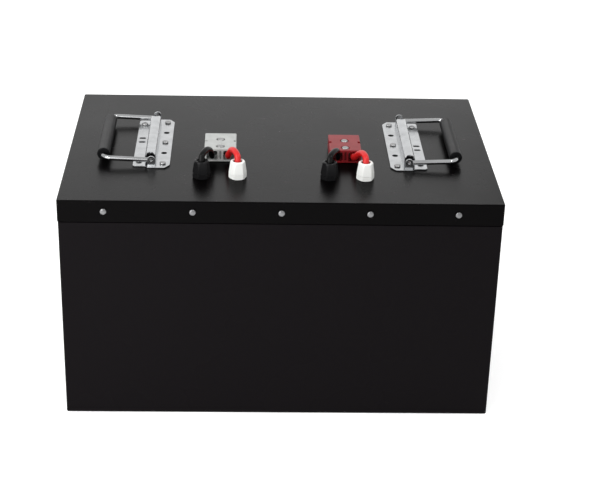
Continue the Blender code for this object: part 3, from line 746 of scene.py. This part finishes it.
def rounded_outline(points, radius, steps=5):
    """Round each corner of a closed outline."""
    smooth = []
    count = len(points)
    for i, here in enumerate(points):
        here = Vector(here)
        before = Vector(points[i - 1]) - here
        after = Vector(points[(i + 1) % count]) - here
        reach = min(radius, before.length / 2.2, after.length / 2.2)
        a = here + before.normalized() * reach
        b = here + after.normalized() * reach
        for k in range(steps + 1):
            t = k / steps
            smooth.append(tuple(a * (1 - t) ** 2 + here * 2 * t * (1 - t) + b * t ** 2))
    return smooth


def pivot_of(label):
    """Where a bail's axis crosses the middle of its handle."""
    return Vector(JOINTS[f"{label}_bail"]["pos_m"])


def handle_sheet(low, high, side, barrel_out):
    """The flat plate, with its screw holes, spare holes and slots."""
    thick = settings("handles").plate
    outline = rounded_outline(handle_outline(low, high, barrel_out), PLATE_CORNER)
    inner_row = low.x + INNER_ROW
    outer_row = high.x - OUTER_ROW
    holes = [(inner_row, y, SCREW_HOLE) for y in INNER_SCREWS]
    holes += [(outer_row, y, SCREW_HOLE) for y in OUTER_SCREWS]
    holes += [(inner_row, y, SPARE_HOLE) for y in SPARE_HOLES]
    plate = round_edges(sheet_blank(outline, holes, low.z, low.z + thick), STAMPED_EDGE, 2, 60)
    slots = []
    for y in SLOT_YS:
        ends = arc((outer_row + SLOT_REACH, -side * y), SLOT_ROUND, -90, 90, 8)
        ends += arc((outer_row - SLOT_REACH, -side * y), SLOT_ROUND, 90, 270, 8)
        slots.append(sheet_blank(ends, (), low.z - MM, low.z + thick + MM))
    return carved(plate, slots)


def handle_barrel(foot, top, middle):
    """The spring's cover, open at both ends and notched there for the bail."""
    barrel_in = middle - BARREL_WIDTH / 2
    barrel_out = middle + BARREL_WIDTH / 2
    radius = BARREL_ROUND
    right = (barrel_out - radius, top - radius)
    left = (barrel_in + radius, top - radius)
    flare = BARREL_FLARE
    outside = [(barrel_out + flare, foot)]
    outside += arc((barrel_out + flare, foot + flare), flare, 270, 180, 4)
    outside += arc(right, radius, 0, 90, 8) + arc(left, radius, 90, 180, 8)
    outside += arc((barrel_in - flare, foot + flare), flare, 0, -90, 4)
    small = radius - BARREL_WALL
    inside = [(barrel_in + BARREL_WALL, foot)] + arc(left, small, 180, 90, 8)
    inside += arc(right, small, 90, 0, 8) + [(barrel_out - BARREL_WALL, foot)]
    barrel = sheet_blank(outside + inside, (), -BARREL_HALF, BARREL_HALF)
    placed(barrel, turn=UP_TO_FRONT)
    notches = [drill(middle, y, LID_TOP + NOTCH_UP, NOTCH_RADIUS, 4 * MM)
               for y in (-BARREL_HALF, BARREL_HALF)]
    return round_edges(carved(barrel, [gathered(notches)]), FOLDED_EDGE, 2, 50)


def handle_ears(foot, top):
    """The two upright tabs at the plate's ends, each with a hole."""
    ears = []
    face = [(EAR_U + EAR_HALF, foot)] + arc((EAR_U, top), EAR_HALF, 0, 180, 24)
    face.append((EAR_U - EAR_HALF, foot))
    for start in (EAR_Y, -EAR_Y - EAR_THICKNESS):
        ear = sheet_blank(face, [(EAR_U, top, EAR_HOLE)], start, start + EAR_THICKNESS)
        ears.append(round_edges(placed(ear, turn=UP_TO_FRONT), FOLDED_EDGE, 2, 60))
    return ears


def handle_base(label, side):
    """The plate with its barrel and ears, as one right-hand mesh in place."""
    low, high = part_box(f"{label}_handle_plate")
    if side < 0:
        low.x, high.x = -high.x, -low.x
    middle = abs(pivot_of(label).x)
    foot = low.z + settings("handles").plate * BARREL_FOOT
    return gathered([handle_sheet(low, high, side, middle + BARREL_WIDTH / 2),
                     handle_barrel(foot, low.z + BARREL_TOP, middle),
                     *handle_ears(foot, high.z - EAR_HALF)])


STUB = 30 * MM, 50 * MM
STUB_BEND = 4 * MM
GRIP_BEND = 9 * MM
GRIP_BORE = 3.0 * MM
GRIP_ROLL = 1.5 * MM
SPRING_WIRE = 0.5 * MM
SPRING_TURNS = 6
STEPS_PER_TURN = 24


def bail_route(label, side):
    """The wire's centre line from stub to stub, lying outwards from the pivot."""
    pivot = pivot_of(label)
    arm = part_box(f"{label}_handle_bail")[1].y - settings("handles").wire
    grip = centre_of(f"{label}_handle_grip")
    reach = math.hypot(grip.x - pivot.x, grip.z - pivot.z)
    tilt = math.atan2(grip.z - pivot.z, abs(grip.x - pivot.x))
    half = [(0.0, y) for y in STUB]
    half += arc((STUB_BEND, arm - STUB_BEND), STUB_BEND, 180, 90, 10) + [(reach / 2, arm)]
    half += arc((reach - GRIP_BEND, arm - GRIP_BEND), GRIP_BEND, 90, 0, 14)
    flat = half + [(u, -y) for u, y in reversed(half)]
    return [(pivot.x + side * u * math.cos(tilt), y, pivot.z + u * math.sin(tilt)) for u, y in flat]


def grip_sleeve(node):
    """A moulded sleeve with rolled ends and a soft waist at each."""
    box = size_of(node)
    half = box.y / 2
    radius = box.z / 2
    end = arc((radius - GRIP_ROLL, half - GRIP_ROLL), GRIP_ROLL, 90, 0, 6)
    waist = [(radius * 0.985, half - 6 * MM), (radius, half - 14 * MM)]
    profile = [(GRIP_BORE, half)] + end + waist
    profile += [(r, -y) for r, y in reversed(profile)]
    return placed(turned(profile, 40, closed=True), centre_of(node), UP_TO_BACK)


def spring_coil(label, side):
    """The return spring, wound about the bail's stub inside the barrel."""
    low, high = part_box(f"{label}_handle_spring")
    pivot = pivot_of(label)
    wire = SPRING_WIRE
    radius = (high.z - low.z) / 2 - wire
    steps = SPRING_TURNS * STEPS_PER_TURN
    points = []
    for i in range(steps + 1):
        angle = 2 * math.pi * i / STEPS_PER_TURN
        y = low.y + wire + (high.y - low.y - 2 * wire) * i / steps
        points.append((pivot.x + side * radius * math.sin(angle), y,
                       pivot.z + radius * math.cos(angle)))
    return swept("coil", points, wire, 2)


class BATTERY_OT_handles(Operator):
    """Stamp the handle plates, bend the bails and wind their springs"""
    bl_idname = "battery.handles"
    bl_label = "Handles"

    def execute(self, context):
        for label, side in SIDES.items():
            name = f"{label}_handle_"
            body = f"{label}_bail"
            add_piece(name + "base", mirrored(handle_base(label, side), side), "chrome",
                      [name + "plate"])
            wire = swept("wire", bail_route(label, side), settings("handles").wire)
            add_piece(name + "wire", wire, "chrome", [name + "bail"], body, look="bright_wire")
            add_piece(name + "sleeve", grip_sleeve(name + "grip"), "black_rubber",
                      [name + "grip"], body)
            # The coil's near-black finish is painted shade for the inside of the barrel.
            add_piece(name + "coil", spring_coil(label, side), "spring_steel", [name + "spring"])
        return {"FINISHED"}


# ---------------------------------------- connectors

# Across the housing: from its middle. Up: from its underside.
POLE_OUT = 9.2 * MM
POLE_UP = 8.0 * MM
TUNNEL_RADIUS = 5.7 * MM
TUNNEL_LENGTH = 22 * MM
MOUTH_IN = 3.4 * MM
MOUTH_OUT = 15.9 * MM
MOUTH_DEPTH = 11 * MM
MOUTH_LOW = 2.0 * MM
MOUTH_ROUND = 1.6 * MM
CAVITY_TOP = 13.4 * MM
CHAMBER_HALF = 6 * MM
CHAMBER_LOW = 2.4 * MM
CHAMBER_START = 21 * MM
CHAMBER_ROUND = 0.8 * MM
NOTCH_IN = 15.25 * MM
NOTCH_OUT = 21 * MM
NOTCH_BACK = 23.5 * MM
NOTCH_HALF = 2.3 * MM
NOTCH_FLOOR = 14 * MM
WEB_HALF = 1.0 * MM
WEB_LOW = 3.5 * MM
WEB_DEPTH = 3 * MM
CLEAR = 2 * MM
BOLT_HOLE = 1.9 * MM
SEAT_RADIUS = 3.3 * MM
SEAT_DEPTH = 1.6 * MM
GROOVE_DEPTH = 3.6 * MM
GROOVE_RADIUS = 5.0 * MM
GROOVE_MOUTH = 5.5 * MM
GROOVE_CHAMFER = 0.3 * MM
CRIMP_RADIUS = 4.2 * MM
CRIMP_BORE = 2.8 * MM
CRIMP_LENGTH = 10.4 * MM
CRIMP_DEPTH = 8 * MM
BLADE_HALF = 4 * MM


def housing(hue):
    """A flat block with cable tunnels, contact chambers, corner notches and screw recesses."""
    low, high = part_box(f"{hue}_connector_housing")
    shell = round_edges(block(low, high), settings("connectors").edge, 3, 40)
    middle = (low.x + high.x) / 2
    mouth = low.y
    tools = []
    for side in SIDES.values():
        x = middle + side * POLE_OUT
        tunnel = [(0, -CLEAR), (TUNNEL_RADIUS, -CLEAR), (TUNNEL_RADIUS, TUNNEL_LENGTH),
                  (0, TUNNEL_LENGTH)]
        tools.append(placed(turned(tunnel, 40), (x, mouth, low.z + POLE_UP), UP_TO_BACK))
        near, far = sorted((middle + side * MOUTH_IN, middle + side * MOUTH_OUT))
        opening = block((near, mouth - 2 * CLEAR, low.z + MOUTH_LOW),
                        (far, mouth + MOUTH_DEPTH, low.z + CAVITY_TOP))
        tools.append(round_edges(opening, MOUTH_ROUND, 4))
        chamber = block((x - CHAMBER_HALF, mouth + CHAMBER_START, low.z + CHAMBER_LOW),
                        (x + CHAMBER_HALF, high.y + CLEAR, low.z + CAVITY_TOP))
        tools.append(round_edges(chamber, CHAMBER_ROUND, 2))
        near, far = sorted((middle + side * NOTCH_IN, middle + side * NOTCH_OUT))
        notch_y = high.y - NOTCH_BACK
        tools.append(block((near, notch_y - NOTCH_HALF, low.z + NOTCH_FLOOR),
                           (far, notch_y + NOTCH_HALF, high.z + CLEAR)))
    tools.append(block((middle - WEB_HALF, mouth - CLEAR, low.z + WEB_LOW),
                       (middle + WEB_HALF, mouth + WEB_DEPTH, low.z + CAVITY_TOP)))
    for label in ("back", "front"):
        seat = high.z - SEAT_DEPTH
        groove = high.z - GROOVE_DEPTH
        recess = [(0, low.z - CLEAR), (BOLT_HOLE, low.z - CLEAR), (BOLT_HOLE, seat),
                  (SEAT_RADIUS, seat), (SEAT_RADIUS, groove), (GROOVE_RADIUS, groove),
                  (GROOVE_RADIUS, high.z - GROOVE_CHAMFER), (GROOVE_MOUTH, high.z + GROOVE_CHAMFER),
                  (GROOVE_MOUTH, high.z + CLEAR), (0, high.z + CLEAR)]
        tools.append(stood_on(f"{hue}_connector_screw_{label}", turned(recess, 32)))
    return carved(shell, tools)


def contact(node):
    """A silver-plated blade with a turned-up tip and a crimp barrel."""
    low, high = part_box(node)
    x = (low.x + high.x) / 2
    z = high.z - CRIMP_RADIUS
    soft = 0.4 * MM
    crimp = [(CRIMP_BORE, 0), (CRIMP_RADIUS - soft, 0), (CRIMP_RADIUS, soft),
             (CRIMP_RADIUS, CRIMP_LENGTH - 1.5 * soft), (CRIMP_RADIUS - 1.5 * soft, CRIMP_LENGTH),
             (0, CRIMP_LENGTH), (0, CRIMP_DEPTH), (CRIMP_BORE, CRIMP_DEPTH)]
    crimp = placed(turned(crimp, 32, closed=True), (x, low.y, z), UP_TO_BACK)
    start = low.y + CRIMP_DEPTH
    side_view = [(start, -3.2), (high.y - 5 * MM, -3.2), (high.y - 1.2 * MM, -2.2),
                 (high.y, -1.5), (high.y - 0.6 * MM, -0.5), (high.y - 2.2 * MM, -0.9),
                 (high.y - 6 * MM, -1.2), (start, -1.2)]
    outline = [(y, drop * MM) for y, drop in side_view]
    side_on = Matrix(((0, 0, 1, 0), (1, 0, 0, 0), (0, 1, 0, 0), (0, 0, 0, 1)))
    blade = sheet_blank(rounded_outline(outline, 1.2 * MM, 4), (), -BLADE_HALF, BLADE_HALF)
    blade = round_edges(placed(blade, turn=side_on), 0.25 * MM, 2, 50)
    return gathered([crimp, placed(blade, (x, 0, z))])


class BATTERY_OT_connectors(Operator):
    """Mould the two connector housings and fit their contacts"""
    bl_idname = "battery.connectors"
    bl_label = "Connectors"

    def execute(self, context):
        for hue in HUES:
            add_piece(f"{hue}_housing", housing(hue), f"{hue}_plastic", [f"{hue}_connector_housing"])
            for label in SIDES:
                name = f"{hue}_connector_contact_{label}"
                add_piece(f"{hue}_blade_{label}", contact(name), "silver_plate", [name])
        return {"FINISHED"}


# ---------------------------------------- glands

CORNER_SHARE = 0.985
BORE = 4.4 * MM
THREAD_OUT = 7.6 * MM
THREAD_IN = 7.0 * MM
THREAD_PITCH = 1.5 * MM
STEM_FLANGE = 5 * MM
STEM_NECK = 6.3 * MM
DOME_FOOT = 10.3 * MM
DOME_LEAN = 0.07
CROWN_RADIUS = 6.4 * MM
CROWN_ROUND = 2.0 * MM
DOME_BORE = 6.8 * MM
DOME_MOUTH = 5.0 * MM
SEAL_BORE = 3.65 * MM
SEAL_RADIUS = 4.9 * MM
DOME_DEPTH = 5.5 * MM
SEAL_DROP = 1.1 * MM
SEAL_HEIGHT = 4 * MM
LOCKNUT_BORE = 7.75 * MM
LOCKNUT_HEIGHT = 5 * MM
LOCKNUT_GAP = 0.2 * MM


def hexed(mesh, foot=0.0, lean=0.0):
    """Cut six flats on a round mesh about Z, leaning inwards by an angle above the foot."""
    glands = settings("glands")
    for i in range(6):
        angle = glands.turn + math.radians(60 * i + 30)
        outwards = Vector((math.cos(angle), math.sin(angle), 0))
        normal = outwards * math.cos(lean) + Vector((0, 0, math.sin(lean)))
        place = outwards * glands.flats / 2 + Vector((0, 0, foot))
        bmesh.ops.contextual_create(mesh, geom=sliced(mesh, place, normal, clear=True))
    bmesh.ops.remove_doubles(mesh, verts=mesh.verts, dist=1e-6)
    bmesh.ops.recalc_face_normals(mesh, faces=mesh.faces)
    return mesh


def corner_radius():
    """Where the rounding of a hexagon's corners begins."""
    return settings("glands").flats / math.sqrt(3.0) * CORNER_SHARE


def gland_stem(node):
    """The body: a threaded tube through the lid, a hexagonal flange and a neck."""
    low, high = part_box(node)
    wide = corner_radius()
    base = LID_TOP + FIT
    flange = base + STEM_FLANGE
    soft = 0.7 * MM
    outside = [(BORE, low.z), (THREAD_OUT - 0.4 * MM, low.z)]
    for i in range(int((base - low.z - 1 * MM) / THREAD_PITCH)):
        z = low.z + 0.5 * MM + i * THREAD_PITCH
        outside += [(THREAD_OUT, z), (THREAD_OUT, z + 0.4 * THREAD_PITCH),
                    (THREAD_IN, z + 0.7 * THREAD_PITCH)]
    outside += [(THREAD_OUT, base - 0.4 * MM), (wide - soft, base), (wide, base + soft * 0.6),
                (wide, flange - soft * 0.8), (wide - soft, flange), (STEM_NECK, flange),
                (STEM_NECK, high.z), (BORE, high.z)]
    return stood_on(node, hexed(turned(outside, 48, closed=True)))


def gland_dome(node):
    """The dome nut: six flats that lean inwards, and a rounded crown with a hole for the lead."""
    low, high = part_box(node)
    crown = arc((CROWN_RADIUS, high.z - CROWN_ROUND), CROWN_ROUND, 0, 90, 8)
    soft = 0.6 * MM
    inner = high.z - DOME_DEPTH
    profile = [(DOME_BORE, low.z), (DOME_FOOT - soft, low.z), (DOME_FOOT, low.z + soft)] + crown
    profile += [(DOME_MOUTH + 0.5 * MM, high.z - 0.15 * MM), (DOME_MOUTH, high.z - 0.9 * MM),
                (DOME_MOUTH, inner), (DOME_BORE, inner)]
    lean = math.atan2(DOME_LEAN * settings("glands").flats, high.z - low.z)
    return stood_on(node, hexed(turned(profile, 60, closed=True), low.z, lean))


def gland_seal(node):
    """The rubber sleeve between the dome nut's mouth and the lead."""
    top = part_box(node)[1].z - SEAL_DROP
    foot = top - SEAL_HEIGHT
    profile = [(SEAL_BORE, foot), (SEAL_RADIUS, foot), (SEAL_RADIUS, top - 0.2 * MM),
               (SEAL_RADIUS - 0.3 * MM, top), (SEAL_BORE + 0.25 * MM, top - 0.1 * MM),
               (SEAL_BORE, top - 0.6 * MM)]
    return stood_on(node, turned(profile, 40, closed=True))


def gland_locknut(node):
    """The hexagonal nut that holds the gland from under the lid."""
    high = LID_TOP - settings("case").sheet - LOCKNUT_GAP
    low = high - LOCKNUT_HEIGHT
    wide = corner_radius()
    soft = 0.6 * MM
    profile = [(LOCKNUT_BORE, low), (wide - soft, low), (wide, low + soft), (wide, high - soft),
               (wide - soft, high), (LOCKNUT_BORE, high)]
    return stood_on(node, hexed(turned(profile, 36, closed=True)))


class BATTERY_OT_glands(Operator):
    """Turn the cable glands' bodies, dome nuts, seals and locknuts"""
    bl_idname = "battery.glands"
    bl_label = "Glands"

    def execute(self, context):
        for name in sorted(frame["nodes"]):
            if name.endswith("_gland_body"):
                stem = name.removesuffix("_body")
                slot = "white_nylon" if "white" in name else "black_nylon"
                add_piece(stem + "_stem", gland_stem(name), slot, [name])
                add_piece(stem + "_dome", gland_dome(stem + "_nut"), slot, [stem + "_nut"])
                add_piece(stem + "_seal", gland_seal(stem + "_nut"), "black_rubber")
                add_piece(stem + "_locknut", gland_locknut(name), slot)
        return {"FINISHED"}


# ---------------------------------------- leads

# Routes in millimetres: offset from the connector's middle, Y, and height above the lid.
# The first point meets the contact, and the last lies at the CAD lead's foot.
START = [(9.2, -36.5, 8.3), (9.2, -47, 8.3), (9.3, -56, 9.2)]
ARCH = {
    ("grey", "black"): [(9.6, -64, 14.5), (11.8, -72, 23.0), (15.4, -81, 26.6), (19.5, -91.6, 25.2)],
    ("grey", "red"): [(9.8, -64, 14.5), (12.6, -72, 23.0), (16.0, -81, 26.6), (19.7, -91.6, 25.2)],
    ("red", "black"): [(9.4, -64, 15.0), (11.4, -72, 23.5), (15.0, -81, 26.2), (19.5, -91.6, 25.0)],
    ("red", "red"): [(10.4, -64, 13.0), (14.0, -72, 20.5), (17.6, -81, 24.8), (20.0, -91.6, 24.4)],
}
GLAND_OUT = 20.3
DOWN = [(GLAND_OUT, -94.7, 20), (GLAND_OUT, -95, 13), (GLAND_OUT, -95, -10)]
TAIL = {
    "black": [(GLAND_OUT, -95.5, -22), (GLAND_OUT, -103, -36), (GLAND_OUT, -120, -48),
              (GLAND_OUT, -128, -62)],
    "red": [(GLAND_OUT, -95, -22), (GLAND_OUT, -92, -37)],
}
TAIL_Y = {"black": -129, "red": -91}


def smooth_route(points, step):
    """Points along a smooth curve through the given ones, about one step apart."""
    route = [2 * points[0] - points[1], *points, 2 * points[-1] - points[-2]]
    smooth = []
    for a, b, c, d in zip(route, route[1:], route[2:], route[3:]):
        count = max(1, round((c - b).length / step))
        for i in range(count):
            t = i / count
            smooth.append(0.5 * (2 * b + (c - a) * t + (2 * a - 5 * b + 4 * c - d) * t ** 2
                                 + (3 * b - a - 3 * c + d) * t ** 3))
    smooth.append(route[-2])
    return smooth


class BATTERY_OT_leads(Operator):
    """Lay the four leads from their contacts over the lid and through their glands"""
    bl_idname = "battery.leads"
    bl_label = "Leads"

    def execute(self, context):
        radius = settings("leads").radius
        for hue in HUES:
            middle = centre_of(f"{hue}_connector_housing").x
            for sleeve, side in (("black", -1), ("red", 1)):
                node = f"{hue}_side_{sleeve}_lead"
                foot = (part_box(node)[0].z - LID_TOP) / MM
                points = START + ARCH[hue, sleeve] + DOWN + TAIL[sleeve]
                points += [(GLAND_OUT, TAIL_Y[sleeve], foot)]
                route = smooth_route([Vector((middle + side * u * MM, y * MM, LID_TOP + z * MM))
                                      for u, y, z in points], 1.5 * MM)
                add_piece(f"{hue}_side_{sleeve}_sleeve", swept("sleeve", route, radius, 8),
                          f"{sleeve}_sleeve", [node])
        return {"FINISHED"}


# ---------------------------------------- inside


class BATTERY_OT_inside(Operator):
    """Give the cells, boards, management unit and pad inside the case their finishes"""
    bl_idname = "battery.inside"
    bl_label = "Inside"

    def execute(self, context):
        for name, node in frame["nodes"].items():
            node.data.materials.clear()
            node.data.materials.append(finish(NODE_SLOTS[name]))
        return {"FINISHED"}


# ---------------------------------------- stage

CAMERA_PLACE = (-0.0403, -1.6944, 0.9727)
# Yaw, pitch below the horizon and roll, in degrees.
CAMERA_TURN = (2.230, 26.205, 1.541)
FLOOR_HALF = 12.0
FLOOR_DROP = 0.4 * MM
SOFTBOX_ON = ("folded_tub", "folded_lid", "left_handle_sleeve", "right_handle_sleeve")
# Place, point it faces, size, power in watts and, where not everything is lit, what is.
LIGHTS = {
    "back_softbox": ((-0.7, 2.2, 1.5), (0, 0, 0.3), (3.2, 1.6), 31, SOFTBOX_ON),
    "left_pool": ((-0.7, -0.75, 0.5), (-0.42, -0.45, 0), (0.9, 0.9), 9),
    "left_spark": ((-0.9, -0.7, 1.7), (0, 0, 0.3), (0.12, 0.12), 5),
    "right_spark": ((0.8, -0.5, 1.7), (0, 0, 0.3), (0.12, 0.12), 5),
}


def area_light(name, place, aim, size, power, receivers=()):
    """A soft light that faces a point, and may shine on the named pieces alone."""
    lamp = bpy.data.lights.new(name, "AREA")
    lamp.shape = "RECTANGLE"
    lamp.size, lamp.size_y = size
    lamp.energy = power
    item = new_object(name, lamp)
    item.location = place
    item.rotation_euler = (Vector(aim) - Vector(place)).to_track_quat("-Z", "Y").to_euler()
    if receivers:
        lit = bpy.data.collections.new(name + "_receivers")
        for receiver in receivers:
            lit.objects.link(bpy.data.objects[receiver])
        item.light_linking.receiver_collection = lit


class BATTERY_OT_stage(Operator):
    """Set the camera, a pale floor and soft studio light"""
    bl_idname = "battery.stage"
    bl_label = "Stage"

    def execute(self, context):
        stage = settings("stage")
        camera = new_object("camera", bpy.data.cameras.new("camera"))
        camera.data.lens = stage.lens
        camera.data.sensor_width = 36.0
        camera.data.clip_end = 50.0
        camera.location = CAMERA_PLACE
        yaw, pitch, roll = (math.radians(angle) for angle in CAMERA_TURN)
        camera.rotation_euler = (Matrix.Rotation(-yaw, 3, "Z")
                                 @ Matrix.Rotation(math.pi / 2 - pitch, 3, "X")
                                 @ Matrix.Rotation(roll, 3, "Z")).to_euler()
        context.scene.camera = camera

        mesh = bmesh.new()
        bmesh.ops.create_grid(mesh, x_segments=1, y_segments=1, size=FLOOR_HALF)
        floor = new_object("floor", to_data(mesh, "floor"))
        floor.location.z = -FLOOR_DROP
        paint = Paint("floor", stage.floor, 0.9)
        paint.set("Emission Color", (1.0, 1.0, 1.0, 1.0))
        paint.set("Emission Strength", stage.glow)
        floor.data.materials.append(paint.material)

        world = bpy.data.worlds.new("studio")
        world.use_nodes = True
        sky = world.node_tree.nodes["Background"]
        sky.inputs["Color"].default_value = (1.0, 1.0, 1.0, 1.0)
        sky.inputs["Strength"].default_value = stage.sky
        context.scene.world = world
        context.scene.view_settings.view_transform = "Standard"
        for name, light in LIGHTS.items():
            area_light(name, *light)
        return {"FINISHED"}


# ---------------------------------------- add-on

OPERATORS = (BATTERY_OT_inside, BATTERY_OT_case, BATTERY_OT_screws, BATTERY_OT_handles,
             BATTERY_OT_connectors, BATTERY_OT_glands, BATTERY_OT_leads, BATTERY_OT_stage)


class BATTERY_PT_panel(Panel):
    """Lists the battery pack's pieces"""
    bl_idname = "BATTERY_PT_panel"
    bl_label = "Battery Pack"
    bl_space_type = "VIEW_3D"
    bl_region_type = "UI"
    bl_category = "Battery"

    def draw(self, context):
        for operator in OPERATORS:
            self.layout.operator(operator.bl_idname)
        for name, group in GROUPS.items():
            box = self.layout.box()
            box.label(text=group.__doc__)
            for key in group.__annotations__:
                box.prop(getattr(context.scene, name), key)


def register():
    for item in (*GROUPS.values(), *OPERATORS, BATTERY_PT_panel):
        bpy.utils.register_class(item)
    for name, group in GROUPS.items():
        setattr(bpy.types.Scene, name, PointerProperty(type=group))


def unregister():
    for name in GROUPS:
        delattr(bpy.types.Scene, name)
    for item in reversed((*GROUPS.values(), *OPERATORS, BATTERY_PT_panel)):
        bpy.utils.unregister_class(item)


def main():
    register()
    for operator in OPERATORS:
        category, name = operator.bl_idname.split(".")
        getattr(getattr(bpy.ops, category), name)()


if __name__ == "__main__":
    main()
